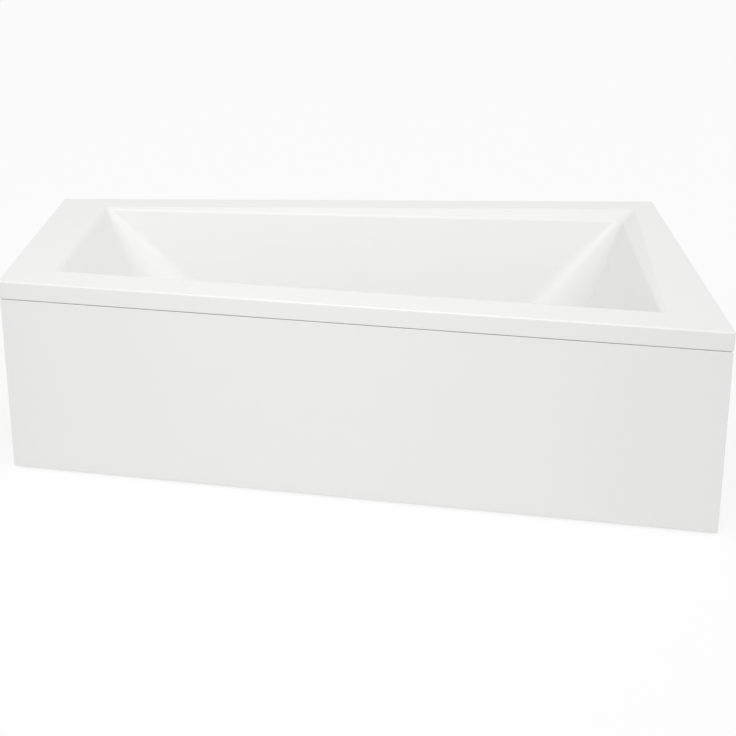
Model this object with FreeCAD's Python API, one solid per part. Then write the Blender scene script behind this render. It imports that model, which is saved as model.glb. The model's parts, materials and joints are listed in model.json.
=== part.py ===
import FreeCAD, Part
import math
import os

# Corner bathtub with a slanted straight front: an acrylic shell with a glass-fibre backing on two leg
# rails, a pull-off front panel, an overflow knob that lifts the plug, and the trap under the floor.
# Millimetres, +Z up.  The origin is on the floor under the middle of the bathtub's box.
# +X runs along the back wall towards the wide end, and +Y runs towards the back wall.

# Outline of the rim
bath_length = 1700.0
wide_end = 1000.0
narrow_end = 700.0
rim_height = 500.0
lip_height = 45.0
acrylic = 5.0
rim_corner_radius = 8.0
rim_edge_radius = 4.0

# Flat width of the deck, square to the rim's outer edge, at each end of each side
deck_back = 78.0
deck_right_back = 57.0
deck_right_front = 138.0
deck_front = 95.0
deck_left_front = 118.0
deck_left_back = 135.0

# Sloped strip between the deck and the basin's walls, which widens towards the back right corner
strip_width = 8.0
strip_depth = 6.0
wide_strip_width = 42.0
wide_strip_depth = 24.0

# Basin
floor_height = 105.0
lean_back = 7.0
lean_right = 27.0
lean_front = 8.0
lean_left = 32.0
floor_radius = 70.0
basin_corner_at_rim = 10.0
back_corner_at_floor = 225.0
front_corner_at_floor = 115.0
steps_per_round = 8

# Layers under the shell
bond_gap = 0.3
backing = 4.0
backing_top_depth = 32.0
board = 16.0
batten_width = 45.0
batten_height = 22.0

# Clearances
fit_gap = 0.3
running_gap = 0.08
hole_gap = 0.4
thread_gap = 0.1

# Leg rails and feet
rail_from_floor_end = 90.0
rail_width = 40.0
rail_height = 25.0
rail_sheet = 2.5
rail_back_gap = 40.0
rail_front_gap = 58.0
foot_from_rail_back = 32.0
foot_from_rail_front = 78.0
stud_radius = 6.0
stud_reserve = 35.0
pad_radius = 28.0
pad_plate = 7.0
pad_boss_radius = 13.0
pad_boss_top = 20.0
pad_socket_bottom = 5.0
nut_sides = 6
nut_flats = 19.0
nut_height = 10.0
rail_screws_per_rail = 4
rail_screw_margin = 30.0

# Wood screws
screw_shank_radius = 2.0
screw_shank_length = 13.0
screw_head_radius = 4.2
screw_head_height = 2.6

# Front panel
panel_seam = 2.0
panel_recess = 2.0
panel_end_inset = 2.0
panel_floor_gap = 5.0
panel_sheet = 4.0
panel_return = 25.0
panel_corner_radius = 6.0
stiffener_length = 1300.0
stiffener_height = 60.0
stiffener_sheet = 9.0

# Panel clips under the front rim
clip_count = 4
clip_width = 44.0
clip_wall = 3.0
clip_jaw_start = 12.0
clip_web_gap = 6.0
clip_plate_tail = 13.0

# Panel arms with magnets at the front ends of the rails
arm_side_gap = 2.5
arm_sheet = 3.0
arm_overlap = 44.0
arm_tab_drop = 40.0
arm_bolt_radius = 3.0
arm_bolt_pitch = 24.0
arm_bolt_head_radius = 5.0
arm_bolt_head_height = 4.0
magnet_radius = 11.0
magnet_height = 8.0
strike_plate_size = 30.0
strike_plate_sheet = 2.0

# Wall brackets
bracket_width = 90.0
bracket_sheet = 2.5
bracket_drop = 46.0
bracket_hole_radius = 3.25
bracket_hole_pitch = 60.0
bracket_hole_drop = 28.0
bracket_screw_pitch = 60.0
back_bracket_inset = 420.0
side_bracket_inset = 400.0

# Drain
waste_x = -45.0
drain_from_floor_edge = 62.0
drain_hole_radius = 26.0
drain_tube_radius = 25.4
drain_tube_wall = 3.2
thread_engagement = 7.0
drain_rim_radius = 35.0
drain_rim_height = 2.6
drain_rim_taper = 2.0
drain_seal_height = 1.5
drain_under_seal = 3.0
drain_body_wall = 4.5
drain_sump = 1.0
drain_flange_radius = 42.0
drain_flange_height = 5.0
board_cutout_radius = 60.0
spoke_count = 3
spoke_width = 4.0
spoke_height = 5.0
hub_radius = 8.0

# Plug and its lever
plug_radius = 31.0
plug_height = 5.0
plug_edge_radius = 2.0
plug_bore_gap = 0.4
plug_skirt_height = 9.0
plug_seal_radius = 1.6
stem_radius = 4.0
lever_wall_gap = 1.5
lever_pivot_drop = 6.0
lever_half_swing = 15.2
lever_hub_radius = 5.0
lever_hub_length = 10.0
lever_bar_radius = 2.4
lever_tip_radius = 3.4
lever_pin_radius = 2.5

# Overflow
overflow_depth = 78.0
overflow_plate_radius = 36.0
overflow_plate_height = 4.0
overflow_seal_height = 3.0
overflow_cup_length = 38.0
overflow_cup_wall = 4.5
overflow_cup_floor = 3.0
spindle_radius = 4.0
crank_radius = 13.0
crank_height = 4.0
crank_clearance = 4.0
knob_gap = 4.0
knob_radius = 33.0
knob_height = 9.0
knob_grip_width = 12.0
knob_grip_height = 11.0
knob_edge_radius = 2.0
knob_socket_depth = 12.0

# Hose and pull cable from the overflow to the drain
stub_radius = 12.0
stub_wall = 2.5
stub_length = 22.0
shoulder_radius = 16.0
shoulder_length = 5.0
hose_bore_gap = 0.3
hose_wall = 1.8
hose_cuff_radius = 15.0
hose_rib_height = 2.6
hose_rib_pitch = 6.0
hose_bend_radius = 80.0
hose_board_gap = 5.0
hose_straight_end = 30.0
clamp_width = 9.0
clamp_sheet = 1.2
clamp_screw_radius = 4.0
clamp_screw_length = 14.0
cable_radius = 2.5
cable_side_offset = 22.0
cable_boss_radius = 5.0

# Trap and outlet pipe
pipe_radius = 20.0
pipe_wall = 1.8
pipe_back_gap = 30.0
pipe_spigot = 45.0
stop_ring_height = 2.0
stop_ring_width = 3.0
drain_outlet_reach = 62.0
socket_wall = 2.4
socket_overlap = 22.0
trap_radius = 44.0
trap_wall = 3.0
trap_height = 66.0
board_clearance = 1.6
trap_neck = 2.0
trap_cap_radius = 36.0
trap_cap_plate = 4.0
trap_cap_spigot = 8.0
trap_cap_grip = 4.0
trap_opening_radius = 30.0
union_nut_sides = 12
union_nut_wall = 2.6
union_nut_length = 18.0
union_nut_lip = 6.0

# Derived places
half_length = bath_length / 2
front_angle = math.atan2(wide_end - narrow_end, bath_length)
corner_trim = rim_corner_radius * (math.tan(front_angle) + 1 / math.cos(front_angle) - 1)
back_y = (wide_end - corner_trim) / 2
along = FreeCAD.Vector(math.cos(front_angle), -math.sin(front_angle), 0)
inward = FreeCAD.Vector(math.sin(front_angle), math.cos(front_angle), 0)
up = FreeCAD.Vector(0, 0, 1)
outline = [
    FreeCAD.Vector(-half_length, back_y, 0),
    FreeCAD.Vector(half_length, back_y, 0),
    FreeCAD.Vector(half_length, back_y - wide_end, 0),
    FreeCAD.Vector(-half_length, back_y - narrow_end, 0),
]
lip_bottom = rim_height - lip_height
deck_under = rim_height - acrylic
basin_depth = rim_height - floor_height
backing_under = floor_height - acrylic - bond_gap - backing
board_under = backing_under - board
batten_under = deck_under - batten_height
web_under = board_under - rail_sheet
panel_top = lip_bottom - panel_seam
panel_back = panel_recess + panel_sheet
arm_width = rail_width - 2 * rail_sheet - 2 * arm_side_gap
stud_top = board_under + nut_height + stud_reserve
socket_bore = pipe_radius + thread_gap
socket_radius = socket_bore + socket_wall
union_nut_flats = 2 * (socket_radius + running_gap + union_nut_wall)
union_nut_corner = union_nut_flats / 2 / math.cos(math.pi / union_nut_sides)
drain_axis_height = board_under - board_clearance - union_nut_corner
hose_bore = stub_radius + hose_bore_gap
hose_valley = hose_bore + hose_wall
hose_crest = hose_valley + hose_rib_height
hose_axis_height = board_under - hose_board_gap - hose_crest
trap_top = board_under - board_clearance
trap_bottom = trap_top - trap_height
fitting_bore = drain_tube_radius + thread_gap
tube_bore = drain_tube_radius - drain_tube_wall
lever_arm = fitting_bore - lever_hub_radius - lever_wall_gap
lever_pivot_height = drain_axis_height - lever_pivot_drop
plug_skirt_radius = tube_bore - plug_bore_gap - 2 * plug_seal_radius - running_gap

# Each side of the basin, clockwise from the back: the deck and the strip's width and depth at its
# start and at its end, and its lean
front_strip = (deck_front, strip_width, strip_depth)
walls = [
    ((deck_back, strip_width, strip_depth),
     (deck_back, wide_strip_width, wide_strip_depth), lean_back),
    ((deck_right_back, wide_strip_width, wide_strip_depth),
     (deck_right_front, strip_width, strip_depth), lean_right),
    (front_strip, front_strip, lean_front),
    ((deck_left_front, strip_width, strip_depth),
     (deck_left_back, strip_width, strip_depth), lean_left),
]

# Corner radii of the basin at the floor, in the order of the sides that start there
corners_at_floor = [back_corner_at_floor, back_corner_at_floor,
                    front_corner_at_floor, front_corner_at_floor]


def front_point(x, aside, run, height):
    """Point found from where x meets the front edge: aside along it, run inwards, at a height."""
    edge_y = back_y - narrow_end - (x + half_length) * math.tan(front_angle)
    return FreeCAD.Vector(x, edge_y, height) + along * aside + inward * run


def meeting_point(a, b, c, d):
    """Where the line through a and b meets the line through c and d, seen from above."""
    one = b - a
    two = d - c
    across = one.x * two.y - one.y * two.x
    share = ((c.x - a.x) * two.y - (c.y - a.y) * two.x) / across
    return a + one * share


def inset_corners(runs):
    """Corners of the outline after each side moves inwards by its run at the start and at the end."""
    lines = []
    for i, (start_run, end_run) in enumerate(runs):
        start = outline[i]
        end = outline[(i + 1) % len(outline)]
        direction = (end - start).normalize()
        inside = FreeCAD.Vector(direction.y, -direction.x, 0)
        lines.append((start + inside * start_run, end + inside * end_run))
    return [meeting_point(*lines[i - 1], *lines[i]) for i in range(len(lines))]


def even_inset(back, right, front, left):
    """Corners of the outline moved inwards by one distance per side."""
    return inset_corners([(back, back), (right, right), (front, front), (left, left)])


def corner_arc(corners, i, radius, height):
    """Start, middle and end of the arc that rounds one corner of an outline at a height."""
    before = (corners[i - 1] - corners[i]).normalize()
    after = (corners[(i + 1) % len(corners)] - corners[i]).normalize()
    half = before.getAngle(after) / 2
    setback = radius / math.tan(half)
    bisector = (before + after).normalize()
    corner = corners[i] + up * height
    middle = corner + bisector * (radius / math.sin(half) - radius)
    return corner + before * setback, middle, corner + after * setback


def arcs_wire(arcs):
    """Closed wire through corner arcs, with a straight side from each one to the next."""
    edges = []
    for i, (start, middle, end) in enumerate(arcs):
        if start != end:
            edges.append(Part.Arc(start, middle, end).toShape())
        edges.append(Part.LineSegment(end, arcs[(i + 1) % len(arcs)][0]).toShape())
    return Part.Wire(edges)


def rounded_wire(corners, radii, height):
    """Closed wire of straight sides and corner arcs at one height."""
    return arcs_wire([corner_arc(corners, i, radii[i], height) for i in range(len(corners))])


def prism(corners, radius, bottom, top):
    """Upright block with the corners rounded to one radius."""
    wire = rounded_wire(corners, [radius] * len(corners), bottom)
    return Part.Face(wire).extrude(FreeCAD.Vector(0, 0, top - bottom))


def block(x_range, y_range, z_range):
    """Box between the limits given for each axis."""
    corner = FreeCAD.Vector(x_range[0], y_range[0], z_range[0])
    size = [r[1] - r[0] for r in (x_range, y_range, z_range)]
    return Part.makeBox(*size, corner)


def front_block(x, aside, run, height):
    """Box lined up with the slanted front, between limits along it, inwards and in height."""
    base = [front_point(x, a, r, 0) for a, r in
            ((aside[0], run[0]), (aside[1], run[0]), (aside[1], run[1]), (aside[0], run[1]))]
    return prism(base, 0, height[0], height[1])


def rod(radius, start, end):
    """Cylinder from one point to another."""
    return Part.makeCylinder(radius, (end - start).Length, start, end - start)


def pipe(outer, inner, start, end):
    """Straight tube from one point to another."""
    return rod(outer, start, end).cut(rod(inner, start, end))


def cone(start_radius, end_radius, start, end):
    """Cone from one point to another."""
    return Part.makeCone(start_radius, end_radius, (end - start).Length, start, end - start)


def polygon_prism(sides, across_flats, start, end):
    """Regular prism from one point to another."""
    axis = (end - start).normalize()
    helper = up if abs(axis.z) < 0.5 else FreeCAD.Vector(1, 0, 0)
    first = axis.cross(helper).normalize()
    second = axis.cross(first)
    corner_radius = across_flats / 2 / math.cos(math.pi / sides)
    turn = 2 * math.pi / sides
    points = [start + first * (corner_radius * math.cos(turn * (i + 0.5)))
              + second * (corner_radius * math.sin(turn * (i + 0.5))) for i in range(sides)]
    return Part.Face(Part.makePolygon(points + points[:1])).extrude(end - start)


def joined(shapes):
    """One solid from overlapping shapes, fused in turn."""
    whole = shapes[0]
    for shape in shapes[1:]:
        whole = whole.fuse(shape)
    return whole.removeSplitter()


def carved(shape, tools):
    """Shape with each tool cut out of it in turn."""
    for tool in tools:
        shape = shape.cut(tool)
    return shape


def wood_screw(seat, direction):
    """Screw whose head lies under the seat and whose shank goes along the direction."""
    head = rod(screw_head_radius, seat - direction * screw_head_height, seat)
    return head.fuse(rod(screw_shank_radius, seat, seat + direction * screw_shank_length))


def pilot_hole(seat, direction):
    """Hole in the wood that the shank of a screw fills."""
    reach = screw_shank_length + fit_gap
    return rod(screw_shank_radius + running_gap, seat, seat + direction * reach)


def sheet_hole(radius, seat, sheet):
    """Upright hole through a sheet whose underside is the seat of a screw or a bolt."""
    return rod(radius, seat - up * sheet, seat + up * (2 * sheet))


def wall_run(end, lean, depth, skin):
    """Distance from the rim's outer edge to a wall at a depth, on the surface a skin behind its face.

    The wall falls straight at its lean from the foot of the strip and turns into the floor on a round,
    which keeps its centre when the skin grows.
    """
    deck, width, drop = end
    lean = math.radians(lean)
    top_run = deck + width - drop * math.tan(lean)
    centre_depth = basin_depth - floor_radius
    swept = floor_radius + skin
    if depth > centre_depth + swept * math.sin(lean):
        centre_run = top_run + centre_depth * math.tan(lean) + floor_radius / math.cos(lean)
        return centre_run - math.sqrt(max(swept ** 2 - (depth - centre_depth) ** 2, 0))
    return top_run + depth * math.tan(lean) - skin / math.cos(lean)


def drawn_in(lean, depth, skin):
    """How far the floor round draws the basin in from the straight line of its wall."""
    if depth < basin_depth - floor_radius:
        return 0.0
    straight = math.tan(math.radians(lean)) * depth - skin / math.cos(math.radians(lean))
    return wall_run((0, 0, 0), lean, depth, skin) - straight


def basin_corners(depth, skin):
    """Sharp corners of the section through the basin's walls at a depth."""
    return inset_corners([(wall_run(start, lean, depth, skin), wall_run(end, lean, depth, skin))
                          for start, end, lean in walls])


def basin_radii(depth, skin):
    """Corner radii of the basin's section: they grow with depth and give way to the floor round."""
    share = depth / basin_depth
    pulls = [drawn_in(lean, depth, skin) for start, end, lean in walls]
    return [basin_corner_at_rim + (corner - basin_corner_at_rim) * share + skin
            - (pulls[i - 1] + pulls[i]) / 2 for i, corner in enumerate(corners_at_floor)]


def basin_wire(depth, skin):
    """Section through the basin's walls at a depth."""
    return rounded_wire(basin_corners(depth, skin), basin_radii(depth, skin), rim_height - depth)


def strip_top_run(end, skin):
    """Distance from the rim's outer edge to the strip's upper edge, a skin behind strip and deck."""
    deck, width, drop = end
    grade = width / drop
    return deck + skin * (grade - math.hypot(1, grade))


def strip_top_wire(skin, height):
    """Outline at a height of the strip's upper edge, where it leaves the deck."""
    corners = inset_corners([(strip_top_run(start, skin), strip_top_run(end, skin))
                             for start, end, lean in walls])
    return rounded_wire(corners, [basin_corner_at_rim + skin] * len(corners), height)


def strip_foot_depth(end, lean, skin):
    """Depth at which the strip meets the wall, on the surfaces a skin behind both faces."""
    deck, width, drop = end
    lean = math.radians(lean)
    grade = width / drop
    shift = skin * (math.hypot(1, grade) - 1 / math.cos(lean))
    return drop + shift / (grade - math.tan(lean))


def strip_foot_wire(skin):
    """Line along which the strip meets the walls: each corner has its own depth."""
    arcs = []
    for i, (start, end, lean) in enumerate(walls):
        last_end, last_lean = walls[i - 1][1:]
        depth = (strip_foot_depth(last_end, last_lean, skin) + strip_foot_depth(start, lean, skin)) / 2
        radius = basin_radii(depth, skin)[i]
        arcs.append(corner_arc(basin_corners(depth, skin), i, radius, rim_height - depth))
    return arcs_wire(arcs)


def floor_round_wires(skin):
    """Sections of the basin at even turns of the round between its walls and its floor."""
    turns = [math.pi / 2 * i / (steps_per_round - 1) for i in range(steps_per_round)]
    return [basin_wire(basin_depth - floor_radius * (1 - math.sin(turn)) + skin, skin)
            for turn in turns]


def basin_solid(skin, overlap):
    """The basin's space, out to a skin behind its face, carried an overlap above the deck face."""
    deck_face = rim_height - skin
    wires = [strip_top_wire(skin, deck_face + overlap), strip_top_wire(skin, deck_face),
             strip_foot_wire(skin)]
    return Part.makeLoft(wires + floor_round_wires(skin), True, True)


def lower_basin_solid(skin, top_depth):
    """The basin's space below a depth, out to a skin behind its face."""
    return Part.makeLoft([basin_wire(top_depth, skin)] + floor_round_wires(skin), True, True)


# Waste places: the drain and the overflow stand on one line square to the front edge
front_floor_run = wall_run(front_strip, lean_front, basin_depth, 0)
drain_run = front_floor_run + drain_from_floor_edge
drain_centre = front_point(waste_x, 0, drain_run, 0)
overflow_lean = math.radians(lean_front)
overflow_run = wall_run(front_strip, lean_front, overflow_depth, 0)
overflow_seat = front_point(waste_x, 0, overflow_run, rim_height - overflow_depth)
overflow_axis = inward * math.cos(overflow_lean) + up * math.sin(overflow_lean)
overflow_back = acrylic + bond_gap + backing
cup_start = overflow_back + overflow_seal_height
cup_end = cup_start + overflow_cup_length
cup_middle = overflow_seat - overflow_axis * (cup_start + overflow_cup_length / 2)
hose_run = overflow_run - (cup_start + overflow_cup_length / 2) * math.cos(overflow_lean)
cup_outer_radius = fitting_bore + overflow_cup_wall
body_outer_radius = fitting_bore + drain_body_wall
drain_floor = drain_axis_height - pipe_radius + pipe_wall - drain_sump
hose_top = cup_middle.z - cup_outer_radius - shoulder_length
hose_end_run = drain_run - body_outer_radius - shoulder_length
stem_bottom = lever_pivot_height - lever_arm * math.sin(math.radians(lever_half_swing)) \
    + lever_tip_radius + fit_gap
drain_rim_bottom = floor_height + drain_seal_height
drain_rim_top = drain_rim_bottom + drain_rim_height
drain_body_top = backing_under - drain_under_seal
overflow_tube_end = cup_start + thread_engagement


def at_drain(height):
    """Point on the drain's axis."""
    return drain_centre + up * height


def at_overflow(reach):
    """Point on the overflow's axis, reached into the basin from the wall's face."""
    return overflow_seat + overflow_axis * reach


# Leg rails: place of each rail and of its two feet
floor_back_left, floor_back_right, floor_front_right, floor_front_left = basin_corners(basin_depth, 0)
rail_places = {"left": max(floor_back_left.x, floor_front_left.x) + rail_from_floor_end,
               "right": min(floor_back_right.x, floor_front_right.x) - rail_from_floor_end}
rail_back_end = back_y - rail_back_gap


def rail_front_end(x):
    """Front end of the rail at x, behind the slanted front."""
    return front_point(x, 0, 0, 0).y + rail_front_gap / math.cos(front_angle)


foot_places = {}
for side, rail_x in rail_places.items():
    front_foot_y = rail_front_end(rail_x) + foot_from_rail_front
    foot_places["front_" + side] = FreeCAD.Vector(rail_x, front_foot_y, 0)
    foot_places["back_" + side] = FreeCAD.Vector(rail_x, rail_back_end - foot_from_rail_back, 0)


def board_edges(x):
    """Front and back edge of the base board at x."""
    corners = basin_corners(basin_depth, 0)
    across = FreeCAD.Vector(x, 0, 0)
    ahead = FreeCAD.Vector(x, 1, 0)
    return meeting_point(corners[2], corners[3], across, ahead).y, \
        meeting_point(corners[0], corners[1], across, ahead).y


def rail_screw_seats():
    """Seats of the screws that hold both rails to the base board."""
    seats = []
    for rail_x in rail_places.values():
        front, back = board_edges(rail_x)
        step = (back - front - 2 * rail_screw_margin) / (rail_screws_per_rail - 1)
        for i in range(rail_screws_per_rail):
            seats.append(FreeCAD.Vector(rail_x, front + rail_screw_margin + i * step, web_under))
    return seats


# Panel clips: evenly spaced along the front edge
clip_places = [-half_length + bath_length * (i + 0.5) / clip_count for i in range(clip_count)]
clip_web_run = panel_recess + panel_return + clip_web_gap
clip_screw_run = clip_web_run - clip_wall - screw_head_radius - clip_wall


def clip_screw_seats():
    """Seats of the screws that hold the panel clips to the front batten."""
    aside = clip_width / 4
    return [front_point(x, s, clip_screw_run, batten_under - clip_wall)
            for x in clip_places for s in (-aside, aside)]


# Wall brackets: turned so that their wall face looks at the wall that they are fixed to
bracket_places = {
    "wall_bracket_back_left": (FreeCAD.Vector(-half_length + back_bracket_inset, back_y, 0), 0),
    "wall_bracket_back_right": (FreeCAD.Vector(half_length - back_bracket_inset, back_y, 0), 0),
    "wall_bracket_side": (FreeCAD.Vector(half_length, back_y - side_bracket_inset, 0), -90),
}
bracket_back = acrylic + fit_gap


def bracket_placement(name):
    """Placement of a wall bracket drawn with its wall face on the plane y = 0."""
    place, turn = bracket_places[name]
    return FreeCAD.Placement(place, FreeCAD.Rotation(up, turn))


def bracket_screw_seats(name):
    """Seats of the screws that hold a wall bracket to its rim batten."""
    seat_y = -bracket_back - batten_width / 2
    seat_z = batten_under - bracket_sheet
    seats = [FreeCAD.Vector(s * bracket_screw_pitch / 2, seat_y, seat_z) for s in (-1, 1)]
    return [bracket_placement(name).multVec(seat) for seat in seats]


def bath_shell():
    """Rim with its turned-down lip, and the basin, as one acrylic skin."""
    rim = prism(outline, rim_corner_radius, lip_bottom, rim_height)
    top_edges = [edge for edge in rim.Edges if edge.BoundBox.ZMin > rim_height - fit_gap]
    rim = rim.makeFillet(rim_edge_radius, top_edges)
    inside = even_inset(acrylic, acrylic, acrylic, acrylic)
    rim = rim.cut(prism(inside, 0, lip_bottom - acrylic, deck_under))
    shell = rim.fuse(basin_solid(acrylic, acrylic / 2)).cut(basin_solid(0, acrylic))
    below_floor = floor_height - 2 * acrylic
    drain_hole = rod(drain_hole_radius, at_drain(below_floor), at_drain(floor_height + acrylic))
    overflow_hole = rod(drain_hole_radius, at_overflow(-2 * acrylic), at_overflow(acrylic))
    return carved(shell, [drain_hole, overflow_hole])


def glassfibre_backing():
    """Sprayed layer behind the walls and the floor of the basin."""
    inner = acrylic + bond_gap
    outside = lower_basin_solid(inner + backing, backing_top_depth)
    layer = outside.cut(lower_basin_solid(inner, backing_top_depth - backing))
    radius = drain_hole_radius + hole_gap
    layer = layer.cut(rod(radius, at_drain(backing_under - backing), at_drain(floor_height)))
    return layer.cut(rod(radius, at_overflow(-overflow_back - backing), at_overflow(0)))


def base_board():
    """Board under the flat of the floor, open round the drain."""
    wire = rounded_wire(basin_corners(basin_depth, 0), basin_radii(basin_depth, 0), board_under)
    plate = Part.Face(wire).extrude(up * board)
    cutout = rod(board_cutout_radius, at_drain(board_under - board), at_drain(backing_under + board))
    return carved(plate, [cutout] + [pilot_hole(seat, up) for seat in rail_screw_seats()])


def rim_battens():
    """Four strips under the deck, along the inside of the lip."""
    near = acrylic + fit_gap
    far = near + batten_width
    outer = even_inset(near, near, near, near)
    inner = even_inset(far, far, far, far)
    long_sides = even_inset(far, near, far, near)
    shapes = {
        "rim_batten_back": [outer[0], outer[1], long_sides[1], long_sides[0]],
        "rim_batten_right": [long_sides[1], long_sides[2], inner[2], inner[1]],
        "rim_batten_front": [long_sides[3], long_sides[2], outer[2], outer[3]],
        "rim_batten_left": [long_sides[0], inner[0], inner[3], long_sides[3]],
    }
    drilled = {
        "rim_batten_back": bracket_screw_seats("wall_bracket_back_left")
        + bracket_screw_seats("wall_bracket_back_right"),
        "rim_batten_right": bracket_screw_seats("wall_bracket_side"),
        "rim_batten_front": clip_screw_seats(),
        "rim_batten_left": [],
    }
    battens = {}
    for name, corners in shapes.items():
        strip = prism(corners, 0, batten_under, deck_under)
        holes = [pilot_hole(seat, up) for seat in drilled[name]]
        battens[name] = carved(strip, holes)
    return battens


def leg_rail(side):
    """Channel under the base board, open below, with holes for its feet, screws and panel arm."""
    x = rail_places[side]
    front = rail_front_end(x)
    half = rail_width / 2
    rail = block((x - half, x + half), (front, rail_back_end), (board_under - rail_height, board_under))
    inner = half - rail_sheet
    rail = rail.cut(block((x - inner, x + inner), (front - rail_sheet, rail_back_end + rail_sheet),
                          (board_under - 2 * rail_height, web_under)))
    holes = []
    for foot in ("front_" + side, "back_" + side):
        holes.append(sheet_hole(stud_radius + hole_gap, foot_places[foot] + up * web_under, rail_sheet))
    for seat in rail_screw_seats():
        if abs(seat.x - x) < half:
            holes.append(sheet_hole(screw_shank_radius + hole_gap, seat, rail_sheet))
    for seat in arm_bolt_seats(side):
        holes.append(sheet_hole(arm_bolt_radius + hole_gap, seat + up * arm_sheet, rail_sheet))
    return carved(rail, holes)


def rail_screws():
    """Wood screws through the rails into the base board."""
    return Part.makeCompound([wood_screw(seat, up) for seat in rail_screw_seats()])


def foot_nuts():
    """A nut above and a nut below the web of the rail at each foot."""
    nuts = []
    for place in foot_places.values():
        for bottom in (board_under, web_under - nut_height):
            start = place + up * bottom
            end = start + up * nut_height
            nut = polygon_prism(nut_sides, nut_flats, start, end)
            nuts.append(nut.cut(rod(stud_radius + running_gap, start, end)))
    return Part.makeCompound(nuts)


def foot_stud(place):
    """Threaded stud of one foot, with a chamfered top."""
    chamfer = stud_radius / 4
    stud = rod(stud_radius, place + up * pad_socket_bottom, place + up * (stud_top - chamfer))
    tip = cone(stud_radius, stud_radius - chamfer, place + up * (stud_top - chamfer), place + up * stud_top)
    return stud.fuse(tip).removeSplitter()


def foot_pad(place):
    """Round pad with a sloped top and a socket for its stud."""
    plate = rod(pad_radius, place, place + up * pad_plate)
    slope = cone(pad_radius, pad_boss_radius, place + up * pad_plate, place + up * (pad_plate * 2))
    boss = rod(pad_boss_radius, place + up * pad_plate, place + up * pad_boss_top)
    socket_top = place + up * (2 * pad_boss_top)
    socket = rod(stud_radius + running_gap, place + up * pad_socket_bottom, socket_top)
    return joined([plate, slope, boss]).cut(socket)


def front_panel():
    """Apron sheet with its four edges folded back."""
    outer_run = panel_recess
    back_run = panel_recess + panel_return
    inset = panel_end_inset
    face = even_inset(0, inset, outer_run, inset)
    back = even_inset(0, inset, back_run, inset)
    skin = prism([back[3], back[2], face[2], face[3]], 0, panel_floor_gap, panel_top)
    tall = panel_top - panel_floor_gap - fit_gap
    edges = [edge for edge in skin.Edges if edge.BoundBox.ZLength > tall
             and min(edge.CenterOfMass.distanceToPoint(corner + up * edge.CenterOfMass.z)
                     for corner in face[2:]) < fit_gap]
    skin = skin.makeFillet(panel_corner_radius, edges)
    ends = inset + panel_sheet
    near = even_inset(0, ends, panel_back, ends)
    far = even_inset(0, ends, back_run + panel_sheet, ends)
    hollow = prism([far[3], far[2], near[2], near[3]], 0,
                   panel_floor_gap + panel_sheet, panel_top - panel_sheet)
    return skin.cut(hollow)


def panel_stiffener():
    """Board glued along the middle of the panel's back."""
    middle = (panel_floor_gap + panel_top) / 2
    aside = stiffener_length / 2
    rise = stiffener_height / 2
    return front_block(0, (-aside, aside), (panel_back, panel_back + stiffener_sheet),
                       (middle - rise, middle + rise))


def panel_clips():
    """Clips under the front batten, whose jaws hold the top fold of the panel."""
    half = clip_width / 2
    aside = (-half, half)
    jaws = (clip_jaw_start, clip_web_run)
    fold_bottom = panel_top - panel_sheet
    clips = []
    for x in clip_places:
        web = front_block(x, aside, (clip_web_run - clip_wall, clip_web_run),
                          (fold_bottom - fit_gap - clip_wall, batten_under))
        lower = front_block(x, aside, jaws, (fold_bottom - fit_gap - clip_wall, fold_bottom - fit_gap))
        upper = front_block(x, aside, jaws, (panel_top + fit_gap, panel_top + fit_gap + clip_wall))
        plate = front_block(x, aside, (clip_jaw_start, clip_web_run + clip_plate_tail),
                            (batten_under - clip_wall, batten_under))
        clips.append(joined([web, lower, upper, plate]))
    holes = [sheet_hole(screw_shank_radius + hole_gap, seat, clip_wall) for seat in clip_screw_seats()]
    return Part.makeCompound([carved(clip, holes) for clip in clips])


def clip_screws():
    """Wood screws through the panel clips into the front batten."""
    return Part.makeCompound([wood_screw(seat, up) for seat in clip_screw_seats()])


def arm_bolt_seats(side):
    """Seats of the bolts that hold a panel arm under its rail's web."""
    x = rail_places[side]
    first = rail_front_end(x) + (arm_overlap - arm_bolt_pitch) / 2
    return [FreeCAD.Vector(x, first + i * arm_bolt_pitch, web_under - arm_sheet) for i in range(2)]


def magnet_seat(side):
    """Point on the panel arm's tab where its magnet sits, and its height."""
    height = web_under - arm_tab_drop + magnet_radius + arm_sheet
    run = panel_back + strike_plate_sheet + fit_gap + magnet_height
    return front_point(rail_places[side], 0, run, height)


def panel_arm(side):
    """Strip from the rail's front end towards the panel, with a turned-down tab for the magnet."""
    x = rail_places[side]
    half = arm_width / 2
    tab_run = panel_back + strike_plate_sheet + fit_gap + magnet_height
    tab = front_block(x, (-half, half), (tab_run, tab_run + arm_sheet), (web_under - arm_tab_drop, web_under))
    start = rail_front_end(x) + arm_overlap
    left = FreeCAD.Vector(x - half, start, 0)
    right = FreeCAD.Vector(x + half, start, 0)
    tab_left = front_point(x, -half, tab_run, 0)
    tab_right = front_point(x, half, tab_run, 0)
    strip = prism([left, right, tab_right, tab_left], 0, web_under - arm_sheet, web_under)
    holes = [sheet_hole(arm_bolt_radius + hole_gap, seat, arm_sheet) for seat in arm_bolt_seats(side)]
    return carved(joined([tab, strip]), holes)


def arm_bolts():
    """Bolts and nuts that hold the panel arms to the rails."""
    bolts = []
    for side in rail_places:
        for seat in arm_bolt_seats(side):
            head = rod(arm_bolt_head_radius, seat - up * arm_bolt_head_height, seat)
            top = seat + up * (arm_sheet + rail_sheet)
            nut = polygon_prism(nut_sides, 2 * arm_bolt_head_radius, top, top + up * arm_bolt_head_height)
            shank = rod(arm_bolt_radius, seat, top + up * (2 * arm_bolt_head_height))
            bolts.append(joined([head, shank, nut]))
    return Part.makeCompound(bolts)


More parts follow.
